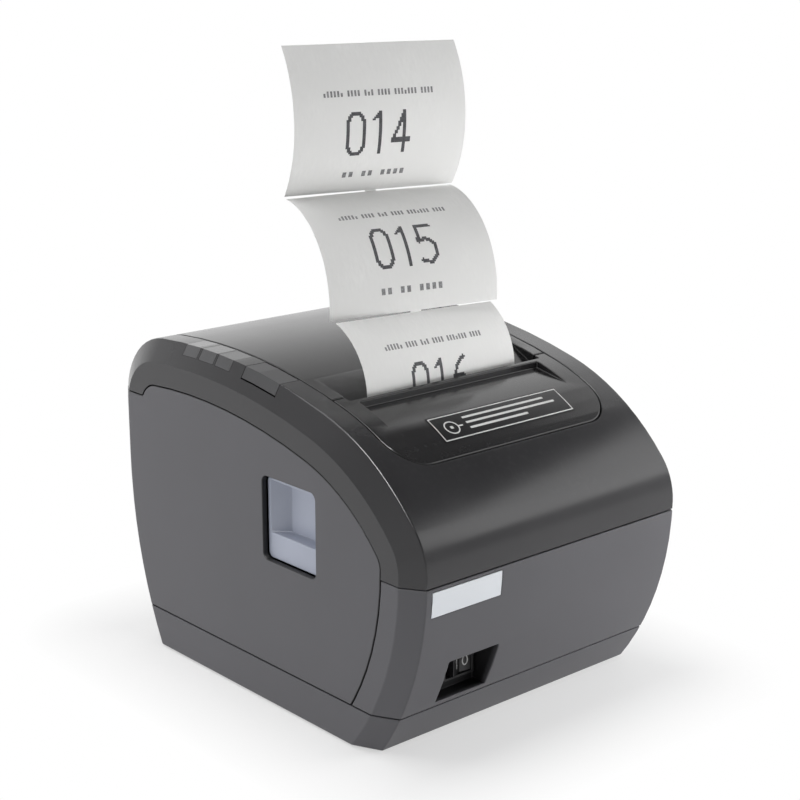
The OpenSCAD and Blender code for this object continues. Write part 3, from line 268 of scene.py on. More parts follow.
def calc(tree, operation, *values):
    """The result of a math node."""
    return add_node(tree, "Math", dict(enumerate(values)), operation=operation).outputs["Value"]


def product(tree, *values):
    """The product of masks and values."""
    return functools.reduce(lambda a, b: calc(tree, "MULTIPLY", a, b), values)


def vector_node(tree, operation, *values):
    """The result of a vector math node."""
    made = add_node(tree, "VectorMath", dict(enumerate(values)), operation=operation)
    return made.outputs["Value" if operation == "LENGTH" else "Vector"]


def mix_colour(tree, mask, under, over):
    """One colour mixed towards another by a mask."""
    return add_node(tree, "Mix", {0: mask, 6: under, 7: over}, data_type="RGBA").outputs[2]


def varied(tree, colour, mask, darker, lighter):
    """A colour that a mask shifts between a darker and a lighter shade of itself."""
    low, high = [(*(c * level for c in colour), 1.0) for level in (darker, lighter)]
    return mix_colour(tree, mask, low, high)


def bump(tree, height, strength, distance):
    inputs = {"Height": height, "Strength": strength, "Distance": distance}
    return add_node(tree, "Bump", inputs).outputs["Normal"]


def dress(tree, inputs):
    """Sets or links the inputs of a material's surface by name."""
    feed(tree, tree.nodes["Principled BSDF"], inputs)


def tint(tree, mask, colour):
    """Mixes a material's base colour towards another one by a mask."""
    under = tree.nodes["Principled BSDF"].inputs["Base Color"].links[0].from_socket
    dress(tree, {"Base Color": mix_colour(tree, mask, under, (*colour, 1.0))})


def grain_group():
    """Spark grain of a moulded surface: its height, and a slow mottle for colour and gloss."""
    sizes = {"Grain per metre": 2400.0, "Mottle per metre": 22.0}
    group, given, gives = new_group("moulded_grain", sizes, "Height", "Mottle")
    fine = noise(group, given.outputs["Grain per metre"], 3.0)
    slow = noise(group, given.outputs["Mottle per metre"], 4.0)
    feed(group, gives, {"Height": ramp(group, fine, 0.3, 0.7), "Mottle": ramp(group, slow, 0.3, 0.7)})
    return group


def dust_group():
    """Thin dust that settles on faces that look up."""
    group, given, gives = new_group("settled_dust", {"Amount": 0.1}, "Dust")
    up = axes_of(group, add_node(group, "NewGeometry").outputs["Normal"])["Z"]
    specks = ramp(group, noise(group, 420.0, 5.0), 0.5, 0.8)
    drift = ramp(group, noise(group, 16.0, 3.0), 0.35, 0.75)
    dust = product(group, ramp(group, up, 0.3, 1.0), specks, drift, given.outputs["Amount"])
    feed(group, gives, {"Dust": dust})
    return group


def brush_group():
    """Fine lines of drawn or ground metal along X: a height and a streak mask."""
    group, given, gives = new_group("drawn_lines", {"Lines per metre": 9000.0}, "Height", "Streak")
    lines = noise(group, given.outputs["Lines per metre"], 2.0, (0.02, 1.0, 1.0))
    streak = ramp(group, noise(group, 60.0, 3.0, (0.1, 1.0, 1.0)), 0.35, 0.7)
    feed(group, gives, {"Height": lines, "Streak": streak})
    return group


# Finishes

BLACK, WHITE = (0.0, 0.0, 0.0, 1.0), (1.0, 1.0, 1.0, 1.0)
# Colour of painted shade: in the switch recess, over the side panels' seams and in the gaps round the
# indicator windows
PAINTED_SHADE = (0.006, 0.006, 0.007)
DUST = (0.4, 0.4, 0.39, 1.0)
HEAD_LINE, HEAD_LINE_HALF = 0.11, 0.0006
GRAIN_DEPTH = 0.00002


class Plastic(NamedTuple):
    """A moulded plastic, whose colour is given or named as one of the finish's properties."""

    colour: object
    rough: float
    grain: float = 2400.0
    strength: float = 0.35
    dust: float = 0.08
    mottle: float = 0.06
    coat: float = 0.0


PLASTICS = {
    "shell_plastic": Plastic("shell_colour", 0.46),
    "front_plastic": Plastic("shell_colour", 0.46),
    "side_plastic": Plastic("shell_colour", 0.46),
    "dome_plastic": Plastic("dome_colour", 0.21, 3000.0, 0.1, 0.04),
    "cover_plastic": Plastic("cover_colour", 0.18, 3200.0, 0.1, 0.04),
    "inner_plastic": Plastic((0.018, 0.018, 0.019), 0.5, dust=0.12),
    "switch_plastic": Plastic((0.014, 0.014, 0.015), 0.36, 4000.0, dust=0.03),
    "button_plastic": Plastic("button_colour", 0.34, 3600.0, 0.12, 0.02),
    "cap_plastic": Plastic((0.045, 0.045, 0.048), 0.34, 3000.0, dust=0.04),
    "window_plastic": Plastic((0.05, 0.05, 0.053), 0.24, 5000.0, 0.05, 0.03, coat=0.4),
    "badge_plate": Plastic((0.66, 0.685, 0.72), 0.28, 6000.0, 0.05, 0.0, 0.01, coat=0.3),
    "gear_acetal": Plastic((0.72, 0.68, 0.58), 0.38, 3000.0, 0.1, 0.05),
    "mark_white": Plastic((0.68, 0.68, 0.67), 0.45, 7000.0, 0.05, 0.0),
    "label_black": Plastic((0.006, 0.006, 0.007), 0.22, 6000.0, 0.04, 0.02),
    "rubber": Plastic((0.012, 0.012, 0.012), 0.72, 1800.0, 0.5, 0.1),
    "head_ceramic": Plastic((0.7, 0.67, 0.58), 0.15, 900.0, 0.05, 0.0),
    "board_green": Plastic((0.012, 0.085, 0.035), 0.3, 5000.0, 0.05, 0.06),
}
# Colour, roughness and drawn lines per metre
METALS = {
    "steel": ((0.56, 0.57, 0.58), 0.32, 9000.0),
    "spring_steel": ((0.6, 0.6, 0.61), 0.22, 16000.0),
    "blade_steel": ((0.62, 0.63, 0.65), 0.2, 14000.0),
    "aluminium": ((0.72, 0.73, 0.74), 0.36, 6000.0),
    "contact_gold": ((0.83, 0.62, 0.27), 0.22, 15000.0),
}


class Finishes:
    """The printer's materials, each made once when a piece first asks for it.

    A name is looked up among the plastics and metals; a method of that name adds its details.
    """

    current = None

    def __init__(self, sizes):
        self.sizes = sizes
        self.grain = grain_group()
        self.dust = dust_group()
        self.brush = brush_group()
        self.made = {}

    @classmethod
    def get(cls, name):
        cls.current = cls.current or cls(bpy.context.scene.printer_finish)
        made = cls.current.made
        if name not in made:
            made[name] = cls.current.make(name)
        return made[name]

    def make(self, name):
        material = bpy.data.materials.new(name)
        material.use_nodes = True
        if name in PLASTICS:
            self.plastic(material.node_tree, PLASTICS[name])
        elif name in METALS:
            self.metal(material.node_tree, *METALS[name])
        if hasattr(self, name) or not (name in PLASTICS or name in METALS):
            getattr(self, name)(material.node_tree)
        return material

    def plastic(self, tree, kind):
        """Moulded plastic: spark grain, a slow mottle in colour and gloss, and a little dust."""
        texture = add_node(tree, "Group", {"Grain per metre": kind.grain}, node_tree=self.grain)
        settled = add_node(tree, "Group", {"Amount": kind.dust}, node_tree=self.dust)
        colour = getattr(self.sizes, kind.colour) if isinstance(kind.colour, str) else kind.colour
        mottle, spread = texture.outputs["Mottle"], kind.mottle
        base = varied(tree, colour, mottle, 1 - spread, 1 + spread)
        base = mix_colour(tree, settled.outputs["Dust"], base, DUST)
        rough = ramp(tree, mottle, 0.0, 1.0, kind.rough - spread / 2, kind.rough + spread / 2)
        normal = bump(tree, texture.outputs["Height"], kind.strength, GRAIN_DEPTH)
        dress(tree, {"Base Color": base, "Roughness": rough, "Normal": normal, "Coat Weight": kind.coat})

    def metal(self, tree, colour, rough, lines):
        """Drawn or ground metal with streaks in its gloss."""
        texture = add_node(tree, "Group", {"Lines per metre": lines}, node_tree=self.brush)
        streak = texture.outputs["Streak"]
        base = varied(tree, colour, streak, 0.9, 1.05)
        rough = ramp(tree, streak, 0, 1, rough - 0.06, rough + 0.06)
        normal = bump(tree, texture.outputs["Height"], 0.15, GRAIN_DEPTH / 2)
        dress(tree, {"Base Color": base, "Roughness": rough, "Normal": normal, "Metallic": 1.0})

    def front_plastic(self, tree):
        """Shell plastic with painted shade that darkens it deeper into the switch recess."""
        spot = axes_of(tree, place_on(tree))
        across = calc(tree, "COMPARE", spot["X"], RECESS_X * MM, RECESS_HALF_WIDTH * MM)
        up = calc(tree, "COMPARE", spot["Z"], ROCKER_Z * MM, RECESS_HALF_HEIGHT * MM)
        lean = product(tree, spot["Z"], RECESS_LEAN)
        shallow, deep = (at(0, y, 0).y for y in RECESS_SHADE)
        depth = ramp(tree, calc(tree, "ADD", spot["Y"], lean), shallow, deep)
        # Painted shade: darker deeper into the recess, within its outline
        tint(tree, product(tree, depth, across, up), PAINTED_SHADE)

    def side_plastic(self, tree):
        """Shell plastic with painted shade over the panel's rounded edge, where it turns into the seam."""
        normal = axes_of(tree, add_node(tree, "NewGeometry").outputs["Normal"])
        # Painted shade where the face turns away from the side, over the rounded edge into the seam
        tint(tree, ramp(tree, calc(tree, "ABSOLUTE", normal["X"]), 0.97, 0.8), PAINTED_SHADE)

    def window_plastic(self, tree):
        """Smoked plastic with painted shade as a dark line at the ends and the inner side of each window."""
        spot = axes_of(tree, place_on(tree))
        pitch, half = WINDOW_PITCH * MM, WINDOW_HALF * MM
        from_start = calc(tree, "SUBTRACT", spot["Y"], at(0, WINDOW_START, 0).y)
        turns = calc(tree, "DIVIDE", from_start, pitch)
        along = product(tree, calc(tree, "FRACT", turns), pitch)
        from_middle = calc(tree, "ABSOLUTE", calc(tree, "SUBTRACT", along, half))
        ends = calc(tree, "GREATER_THAN", from_middle, half - WINDOW_LINE * MM)
        inner = calc(tree, "GREATER_THAN", spot["X"], WINDOW_INNER * MM)
        # Painted shade in the gaps at each window's ends and inner side
        tint(tree, calc(tree, "MAXIMUM", ends, inner), PAINTED_SHADE)

    def gear_acetal(self, tree):
        dress(tree, {"Subsurface Weight": 0.1, "Subsurface Radius": (0.002, 0.0015, 0.001)})

    def head_ceramic(self, tree):
        """Glazed ceramic with the dark line of the heating dots."""
        line = calc(tree, "COMPARE", axes_of(tree, place_on(tree))["Z"], HEAD_LINE, HEAD_LINE_HALF)
        tint(tree, line, (0.08, 0.05, 0.04))

    def board_green(self, tree):
        """Solder mask over copper tracks."""
        inputs = {"Vector": place_on(tree), "Scale": 160.0, "Mortar Size": 0.08}
        inputs |= {"Color1": BLACK, "Color2": BLACK, "Mortar": WHITE}
        tracks = add_node(tree, "TexBrick", inputs)
        tint(tree, tracks.outputs["Color"], (0.03, 0.17, 0.07))

    def thermal_paper(self, tree):
        """Smooth coated paper with faint fibres."""
        fibres = ramp(tree, noise(tree, 900.0, 6.0, (1.0, 0.35, 0.35)), 0.3, 0.7)
        cloud = ramp(tree, noise(tree, 45.0, 3.0), 0.35, 0.7)
        mask = product(tree, fibres, cloud)
        base = varied(tree, self.sizes.paper_colour, mask, 0.965, 1.02)
        rough, normal = ramp(tree, cloud, 0, 1, 0.5, 0.6), bump(tree, fibres, 0.12, 0.00003)
        dress(tree, {"Base Color": base, "Roughness": rough, "Normal": normal})

    def roll_paper(self, tree):
        """The roll, whose ends show its layers as rings about the core."""
        self.thermal_paper(tree)
        low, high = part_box("paper_roll")
        centre = (low + high) / 2
        inputs = {"Vector": place_on(tree), "Location": (0, -centre.y, -centre.z), "Scale": (0, 1, 1)}
        from_axis = add_node(tree, "Mapping", inputs).outputs["Vector"]
        turns = product(tree, vector_node(tree, "LENGTH", from_axis), 14000.0)
        rings = ramp(tree, calc(tree, "SINE", turns), -1, 1, 0.0, 0.5)
        layers = calc(tree, "ADD", rings, ramp(tree, noise(tree, 240.0), 0.3, 0.7, 0, 0.5))
        dress(tree, {"Base Color": varied(tree, self.sizes.paper_colour, layers, 0.8, 1.0)})

    def thermal_print(self, tree):
        """Print whose dots vary a little in darkness."""
        self.printed(tree, self.sizes.ink_colour, 700.0, 0.75, 0.75, 1.7)

    def faint_print(self, tree):
        """Small print, which looks greyer because its strokes are thin."""
        self.printed(tree, (0.2, 0.2, 0.205), 1200.0, 0.7, 0.7, 1.5)

    def printed(self, tree, colour, scale, top, darker, lighter):
        patchy = ramp(tree, noise(tree, scale, 4.0), 0.35, top)
        rough = ramp(tree, patchy, 0, 1, 0.45, 0.6)
        dress(tree, {"Base Color": varied(tree, colour, patchy, darker, lighter), "Roughness": rough})

    def cardboard(self, tree):
        """Wound board with the slanted seams of its strip."""
        inputs = {"Vector": place_on(tree), "Scale": 30.0, "Distortion": 2.0, "Detail": 3.0}
        wound = add_node(tree, "TexWave", inputs)
        fibres = ramp(tree, noise(tree, 700.0, 5.0), 0.3, 0.7)
        mask = product(tree, wound.outputs["Fac"], fibres)
        base = varied(tree, (0.42, 0.29, 0.17), mask, 0.8, 1.15)
        rough, normal = ramp(tree, fibres, 0, 1, 0.75, 0.9), bump(tree, fibres, 0.3, 0.00005)
        dress(tree, {"Base Color": base, "Roughness": rough, "Normal": normal})


# Edges of the CAD solids


def mark_edges(group, angle, dome_only):
    """A mask of the edges to round; on the dome those between the rims, without the controls' openings."""
    real = calc(group, "GREATER_THAN", angle, EDGE_ANGLE)
    if not dome_only:
        return real
    spot = axes_of(group, add_node(group, "GeometryNodeInputPosition").outputs[0])
    start, end = (at(0, y, 0).y for y in CONTROLS_SPAN)
    controls = product(
        group,
        calc(group, "LESS_THAN", spot["X"], CONTROLS_INNER * MM),
        calc(group, "GREATER_THAN", spot["Y"], start),
        calc(group, "LESS_THAN", spot["Y"], end),
    )
    inside = calc(group, "LESS_THAN", calc(group, "ABSOLUTE", spot["X"]), DOME_HALF * MM)
    dome = calc(group, "MAXIMUM", calc(group, "SUBTRACT", inside, controls), 0.0)
    return product(group, real, dome)


def clean_group(name, dome_only):
    """Geometry group that joins split vertices, smooths all but the real edges and marks those to round."""
    group = bpy.data.node_groups.new(name, "GeometryNodeTree")
    for way in ("INPUT", "OUTPUT"):
        group.interface.new_socket("Geometry", in_out=way, socket_type="NodeSocketGeometry")
    given, gives = group.nodes.new("NodeGroupInput"), group.nodes.new("NodeGroupOutput")
    angle = add_node(group, "GeometryNodeInputMeshEdgeAngle").outputs["Unsigned Angle"]
    sharp = add_node(group, "FunctionNodeCompare", {0: angle, 1: SHARP_ANGLE}, operation="GREATER_THAN")
    weights = {"Name": "bevel_weight_edge", "Value": mark_edges(group, angle, dome_only)}
    mesh = given.outputs[0]
    for kind, inputs, settings in (
        ("RemoveAttribute", {"Name": "custom_normal"}, {}),
        ("MergeByDistance", {"Distance": 0.000002}, {}),
        ("SetShadeSmooth", {}, {}),
        ("SetShadeSmooth", {"Selection": sharp.outputs[0], "Shade Smooth": False}, {"domain": "EDGE"}),
        ("StoreNamedAttribute", weights, {"domain": "EDGE"}),
    ):
        mesh = add_node(group, "GeometryNode" + kind, {"Geometry": mesh, **inputs}, **settings).outputs[0]
    group.links.new(mesh, gives.inputs[0])
    return group


def add_modifier(target, name, kind, **settings):
    made = target.modifiers.new(name, kind)
    for key, value in settings.items():
        setattr(made, key, value)


def soften(name, radius=0.0, segments=2, dome_only=False):
    """Smooths a CAD node's curved faces and rounds its real edges, by modifiers alone."""
    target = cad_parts[name]
    label = "joined_dome" if dome_only else "joined_smooth"
    group = bpy.data.node_groups.get(label) or clean_group(label, dome_only)
    add_modifier(target, "join and smooth", "NODES", node_group=group)
    if radius:
        add_modifier(target, "whole faces", "DECIMATE", decimate_type="DISSOLVE", angle_limit=FLAT_ANGLE)
        edge = {"width": radius, "segments": segments, "limit_method": "WEIGHT", "miter_outer": "MITER_ARC"}
        edge |= {"loop_slide": False, "use_clamp_overlap": False, "harden_normals": True}
        add_modifier(target, "moulded edge", "BEVEL", **edge)


def finish_node(name, finish):
    """Gives a CAD node one of the printer's finishes."""
    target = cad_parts[name]
    target.data.materials.clear()
    target.data.materials.append(Finishes.get(finish))


def finish_nodes(rows, rounding):
    """Finishes CAD nodes, and rounds those that have a share of the rounding: (finish, share, nodes)."""
    for finish, share, names in rows:
        for name in names.split():
            finish_node(name, finish)
            if share:
                soften(name, rounding * share)


class PRINTER_OT_shells(bpy.types.Operator):
    """Rounds and finishes the case, the lid and the cover"""

    bl_idname = "printer.shells"
    bl_label = "Shells"

    NODES = (
        ("shell_plastic", 1.0, "base_tray rear_panel"),
        ("front_plastic", 1.0, "front_panel"),
        ("side_plastic", 1.0, "left_side_panel right_side_panel"),
        ("cover_plastic", 0.8, "lid_shell cutter_cover"),
        ("badge_plate", 0.3, "badge_plate"),
        ("rubber", 1.0, "rubber_feet"),
        ("steel", 0.4, "case_screws hinge_pins"),
    )

    def execute(self, context):
        rounding = context.scene.printer_finish.rounding
        finish_nodes(self.NODES, rounding)
        finish_node("top_shell", "dome_plastic")
        soften("top_shell", rounding, dome_only=True)
        return {"FINISHED"}


# Mesh pieces


def mesh_object(name, points, faces, material):
    """An object in the scene with a mesh of the given points and faces."""
    mesh = bpy.data.meshes.new(name)
    mesh.from_pydata([tuple(p) for p in points], [], faces)
    mesh.validate()
    mesh.materials.append(material)
    made = bpy.data.objects.new(name, mesh)
    bpy.context.scene.collection.objects.link(made)
    return made


def mesh_piece(name, points, faces, finish, body, slot):
    """A mesh object that rides on a body and takes a finish; the slot is not used."""
    piece = mesh_object(name, points, faces, Finishes.get(finish))
    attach(piece, body)
    return piece


def smooth(piece, angle=30):
    """Smooth shading except over edges sharper than an angle in degrees."""
    for face in piece.data.polygons:
        face.use_smooth = True
    piece.data.set_sharp_from_angle(angle=radians(angle))
    return piece


def tube(path, radius, sides=10):
    """Points and faces of a closed round tube along a path."""
    points, faces = [], []
    across = None
    for i, p in enumerate(path):
        ahead = (path[min(i + 1, len(path) - 1)] - path[max(i - 1, 0)]).normalized()
        if across is None:
            across = ahead.orthogonal().normalized()
        across = (across - ahead * across.dot(ahead)).normalized()
        up = ahead.cross(across)
        for k in range(sides):
            a = tau * k / sides
            points.append(p + radius * (cos(a) * across + sin(a) * up))
    for i in range(len(path) - 1):
        for k in range(sides):
            n = (k + 1) % sides
            faces.append((i * sides + k, i * sides + n, (i + 1) * sides + n, (i + 1) * sides + k))
    faces.append(tuple(range(sides - 1, -1, -1)))
    faces.append(tuple((len(path) - 1) * sides + k for k in range(sides)))
    return points, faces


def join_parts(parts):
    """One list of points and one of faces from several."""
    points, faces = [], []
    for part_points, part_faces in parts:
        start = len(points)
        points += part_points
        faces += [tuple(start + i for i in f) for f in part_faces]
    return points, faces


def patch(surface, rows, columns):
    """Points and faces of an open grid over surface(u, v), with u and v from 0 to 1."""
    points = [surface(c / columns, r / rows) for r in range(rows + 1) for c in range(columns + 1)]
    across = columns + 1
    faces = [
        (r * across + c, r * across + c + 1, (r + 1) * across + c + 1, (r + 1) * across + c)
        for r in range(rows)
        for c in range(columns)
    ]
    return points, faces


def plate(surface, rows, columns):
    """A closed thin plate whose front and back are surface(u, v, 1) and surface(u, v, 0)."""
    front = patch(lambda u, v: surface(u, v, 1), rows, columns)
    back = patch(lambda u, v: surface(u, v, 0), rows, columns)
    across, count = columns + 1, len(front[0])
    rim = (
        list(range(across))
        + [r * across + columns for r in range(1, rows + 1)]
        + [rows * across + c for c in range(columns - 1, -1, -1)]
        + [r * across for r in range(rows - 1, 0, -1)]
    )
    faces = front[1] + [tuple(count + i for i in reversed(f)) for f in back[1]]
    faces += [(b, a, count + a, count + b) for a, b in zip(rim, rim[1:] + rim[:1])]
    return front[0] + back[0], faces


# Receipts


def slip_point(slip, t, away):
    """A place on a slip at t of its length, away millimetres behind its front face, as (y, z)."""
    radius = slip.length / radians(slip.turn)
    a0, a = radians(slip.start), radians(slip.start - slip.turn * t)
    along = radius * Vector((sin(a0) - sin(a), cos(a) - cos(a0)))
    return along + away * Vector((sin(a), -cos(a)))


def slip_frames():
    """The place of each slip, from the slot upwards."""
    low = dome_height(LID_FRONT + RAMP_LENGTH) - RAMP_LENGTH * tan(RAMP_TILT) - STRIP_DROP
    front = LID_FRONT + SEAM / 2 - STRIP_DEPTH - STRIP_GAP
    spot = Matrix.Translation((0, front - BODY_DEPTH / 2, low))
    frames = {"lower": spot}
    for below, name in (("lower", "middle"), ("middle", "upper")):
        end = slip_point(SLIPS[below], 1, 0)
        step = Matrix.Translation((SLIPS[below].shift, end.x, end.y + TEAR_GAP))
        spot = spot @ step @ Matrix.Rotation(radians(SLIPS[name].skew), 4, "Z")
        frames[name] = spot
    return frames


class Slip:
    """One receipt: where a place on it is, from the distances across it and below its top edge."""

    def __init__(self, name):
        self.shape = SLIPS[name]
        self.length = self.shape.length
        self.place = slip_frames()[name]

    def point(self, x, below_top, away):
        t = 1 - below_top / self.length
        t -= t * x / PAPER_WIDTH * self.shape.slant / self.length
        free = min(1.0, max(0.0, t * self.length - FLAT_FOOT) / RIPPLE_GROWTH)
        wave = self.shape.wave
        ripple = RIPPLE * free * sin(x / RIPPLE_PITCH + wave) * sin(t * 3.3 + wave)
        y, z = slip_point(self.shape, t, away + RIPPLE + ripple)
        return (self.place @ Vector((x + self.shape.shift * t, y, z))) * MM


# Centre lines of the digits in a box of 100 by 100, with y down
DIGIT_LINES = {
    "1": [(28, 17), (56, 4), (56, 96)],
    "2": [(10, 22), (25, 6), (70, 6), (90, 20), (86, 40), (10, 95), (94, 95)],
    "3": [(10, 12), (50, 4), (88, 20), (80, 42), (45, 48), (84, 56), (90, 80), (50, 96), (8, 86)],
    "4": [(94, 68), (6, 68), (70, 4), (70, 96)],
    "5": [(88, 5), (16, 5), (12, 44), (52, 37), (90, 52), (90, 78), (56, 95), (10, 88)],
    "6": [(80, 5), (40, 20), (10, 56), (10, 78), (36, 95), (66, 95), (90, 76), (90, 60), (64, 44), (34, 44)]
    + [(12, 60)],
    "7": [(8, 5), (92, 5), (40, 96)],
    "8": [(50, 47), (12, 32), (20, 10), (50, 4), (80, 10), (88, 32), (50, 47)]
    + [(10, 68), (20, 90), (50, 96), (80, 90), (90, 68), (50, 47)],
    "9": [(20, 95), (60, 80), (90, 44), (90, 22), (64, 5), (34, 5), (10, 24), (10, 40), (36, 56), (66, 56)]
    + [(88, 40)],
}


def digit_line(digit):
    """Centre line of a digit in a unit box, with y down; a nought is a squared oval."""
    if digit != "0":
        return [Vector((x / 100, y / 100)) for x, y in DIGIT_LINES[digit]]

    def bow(c):
        return copysign(abs(c) ** 0.75, c)

    turn = [tau * i / 28 for i in range(29)]
    return [Vector((0.5 + 0.44 * bow(cos(a)), 0.5 + 0.46 * bow(sin(a)))) for a in turn]


def off_line(p, a, b):
    """Distance of a place from the stretch between two others."""
    along = b - a
    t = max(0.0, min(1.0, (p - a).dot(along) / max(along.length_squared, 1e-9)))
    return (p - a - t * along).length


def digit_runs(digit, width, height, dot):
    """Rows of printed dots of a digit, as (left, right, top, bottom) in millimetres."""
    line = [Vector((p.x * width, p.y * height)) for p in digit_line(digit)]
    for row in range(int(height / dot) + 1):
        start = None
        for column in range(-1, int(width / dot) + 3):
            spot = Vector(((column + 0.5) * dot, (row + 0.5) * dot))
            off = min(off_line(spot, a, b) for a, b in zip(line, line[1:]))
            inked = column >= 0 and off < INK_REACH * dot
            if inked and start is None:
                start = column
            if not inked and start is not None:
                yield start * dot, column * dot, row * dot, (row + 1) * dot
                start = None


def bar_row(words, pitch, height, top):
    """A centred row of upright bars, in groups of the given counts, as runs."""
    total = sum(words) + len(words) - 1
    x = -total * pitch / 2
    for count in words:
        for i in range(count):
            lower = 0.35 * height if (i * 3 + count) % 5 == 1 else 0.0
            yield x + 0.12 * pitch, x + 0.7 * pitch, top + lower, top + height
            x += pitch
        x += pitch


def print_runs(slip, runs, shift):
    """Points and faces of printed runs laid on a slip."""
    points, faces = [], []
    for left, right, top, bottom in runs:
        if top > slip.length - PRINT_END:
            continue
        for x, below in ((left, top), (right, top), (right, bottom), (left, bottom)):
            points.append(slip.point(x + shift, min(below, slip.length), -PRINT_LIFT))
        faces.append(tuple(range(len(points) - 4, len(points))))
    return points, faces


class PRINTER_OT_receipts(bpy.types.Operator):
    """Makes the strip of receipts and what is printed on them"""

    bl_idname = "printer.receipts"
    bl_label = "Receipts"

    def execute(self, context):
        sizes = context.scene.printer_print
        width, height, dot = sizes.digit_width / MM, sizes.digit_height / MM, sizes.dot / MM
        sheets, large, small = [], [], []
        for order, (name, top) in enumerate(LINE_TOPS.items()):
            slip = Slip(name)
            sheets.append(self.sheet(slip))
            small.append(print_runs(slip, bar_row(LINE_WORDS, LINE_PITCH, LINE_HEIGHT, top), LINE_SHIFT))
            digits_top = top + DIGITS_BELOW
            for place, digit in enumerate(f"{sizes.first_number + order:03d}"):
                runs = digit_runs(digit, width, height, dot)
                lowered = [(a, b, c + digits_top, d + digits_top) for a, b, c, d in runs]
                large.append(print_runs(slip, lowered, DIGIT_PITCH * place + DIGITS_LEFT))
            date = bar_row(DATE_WORDS, DATE_PITCH, DATE_HEIGHT, digits_top + height + DATE_BELOW)
            small.append(print_runs(slip, date, DATE_SHIFT))
        sheets += [self.bridge("lower", "middle"), self.bridge("middle", "upper")]
        strip = smooth(mesh_piece("receipt_paper", *join_parts(sheets), "thermal_paper", "lid", "paper"), 60)
        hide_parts("receipt_strip")
        mesh_piece("receipt_numbers", *join_parts(large), "thermal_print", "lid", "paper")
        mesh_piece("receipt_lines", *join_parts(small), "faint_print", "lid", "paper")
        return {"FINISHED"}

    def sheet(self, slip):
        """The paper of one receipt."""

        def surface(u, v, s):
            return slip.point(PAPER_WIDTH / 2 * (2 * u - 1), v * slip.length, SHEET * (1 - s))

        return plate(surface, 48, 20)

    def bridge(self, lower, upper):
        """The uncut paper between a slip and the one above it."""
        below, above = Slip(lower), Slip(upper)

        def surface(u, v, s):
            x, away = BRIDGE_HALF * (2 * u - 1), SHEET * (1 - s)
            return below.point(x, 0.0, away).lerp(above.point(x, above.length, away), v)

        return plate(surface, 2, 2)


# Label on the cover

LABEL_X, LABEL_Y, LABEL_DEPTH = (-31.0, 39.0), (29.0, 41.0), 0.1
FRAME_IN, FRAME_LINE = 0.5, 0.42
BAR_ENDS, BAR_WIDTH, BAR_FIRST, BAR_PITCH = ((-15, 29), (-15, 33), (-15, 16)), 0.9, 2.3, 2.5
MARK_HEIGHTS = (0.09, 0.13)
SIGN_X, SIGN_RADIUS, SIGN_LINE, SIGN_FLAT = -23.0, 2.9, 0.55, 0.86


def on_dome(x, y, lift):
    """A place over the dome, lifted square to it."""
    return at(x, y, dome_height(y)) + dome_normal(y) * lift * MM


def dome_plate(x, y, heights, columns, rows):
    """A thin plate that follows the dome between two heights above it."""

    def surface(u, v, s):
        return on_dome(x[0] + (x[1] - x[0]) * u, y[0] + (y[1] - y[0]) * v, heights[s])

    return plate(surface, rows, columns)


class PRINTER_OT_label(bpy.types.Operator):
    """Makes the framed black label on the cutter cover, with a paper roll sign and plain bars"""

    bl_idname = "printer.label"
    bl_label = "Cover label"

    def execute(self, context):
        backing = dome_plate(LABEL_X, LABEL_Y, (0.0, LABEL_DEPTH), 20, 10)
        mesh_piece("cover_label", *backing, "label_black", "cover", "cover")
        left, right = LABEL_X[0] + FRAME_IN, LABEL_X[1] - FRAME_IN
        front, back = LABEL_Y[0] + FRAME_IN, LABEL_Y[1] - FRAME_IN
        marks = [
            dome_plate((left, right), (front, front + FRAME_LINE), MARK_HEIGHTS, 20, 1),
            dome_plate((left, right), (back - FRAME_LINE, back), MARK_HEIGHTS, 20, 1),
            dome_plate((left, left + FRAME_LINE), (front, back), MARK_HEIGHTS, 1, 8),
            dome_plate((right - FRAME_LINE, right), (front, back), MARK_HEIGHTS, 1, 8),
        ]
        for row, ends in enumerate(BAR_ENDS):
            top = back - BAR_FIRST - row * BAR_PITCH
            marks.append(dome_plate(ends, (top - BAR_WIDTH, top), MARK_HEIGHTS, 16, 2))
        marks += self.roll_sign(SIGN_X, (front + back) / 2)
        mesh_piece("cover_label_marks", *join_parts(marks), "mark_white", "cover", "cover")
        return {"FINISHED"}

    def roll_sign(self, x, y):
        """A ring for the roll, a dot for its core and a sheet that leaves it."""

        def ring(u, v, s):
            a, radius = tau * u, SIGN_RADIUS + SIGN_LINE * v
            up = radius * SIGN_FLAT * sin(a) - 0.4
            return on_dome(x + radius * cos(a), y + up, MARK_HEIGHTS[s])

        core = dome_plate((x - 0.7, x + 0.7), (y - 1.0, y + 0.2), MARK_HEIGHTS, 2, 2)
        sheet = dome_plate((x + 3.0, x + 5.6), (y - 0.7, y - 0.15), MARK_HEIGHTS, 4, 1)
        return [plate(ring, 1, 36), core, sheet]


# Controls


ROCKER_MARK_LOW, ROCKER_MARK_DEPTH = 0.02, 0.05
RING_ALONG, RING_HALF_WIDTH, RING_HALF_HEIGHT, RING_LINE = 2.7, 0.95, 1.6, 0.5
BAR_ALONG, BAR_LINE, BAR_HALF_HEIGHT = -2.5, 0.5, 2.0


def rocker_point(along, s, z):
    """A place on the rocker's marks: along its face from the crease, front or back, and up."""
    crease = Vector(ROCKER_CREASE)
    way = (Vector((copysign(ROCKER_TIP[0], along), ROCKER_TIP[1])) - crease).normalized()
    out = Vector((way.y, -way.x)) * (1 if along > 0 else -1)
    spot = crease + abs(along) * way + (ROCKER_MARK_LOW + ROCKER_MARK_DEPTH * s) * out
    turned = Matrix.Rotation(ROCKER_TILT, 2) @ spot
    return at(ROCKER_X + turned.x, ROCKER_Y + turned.y, ROCKER_Z + z)


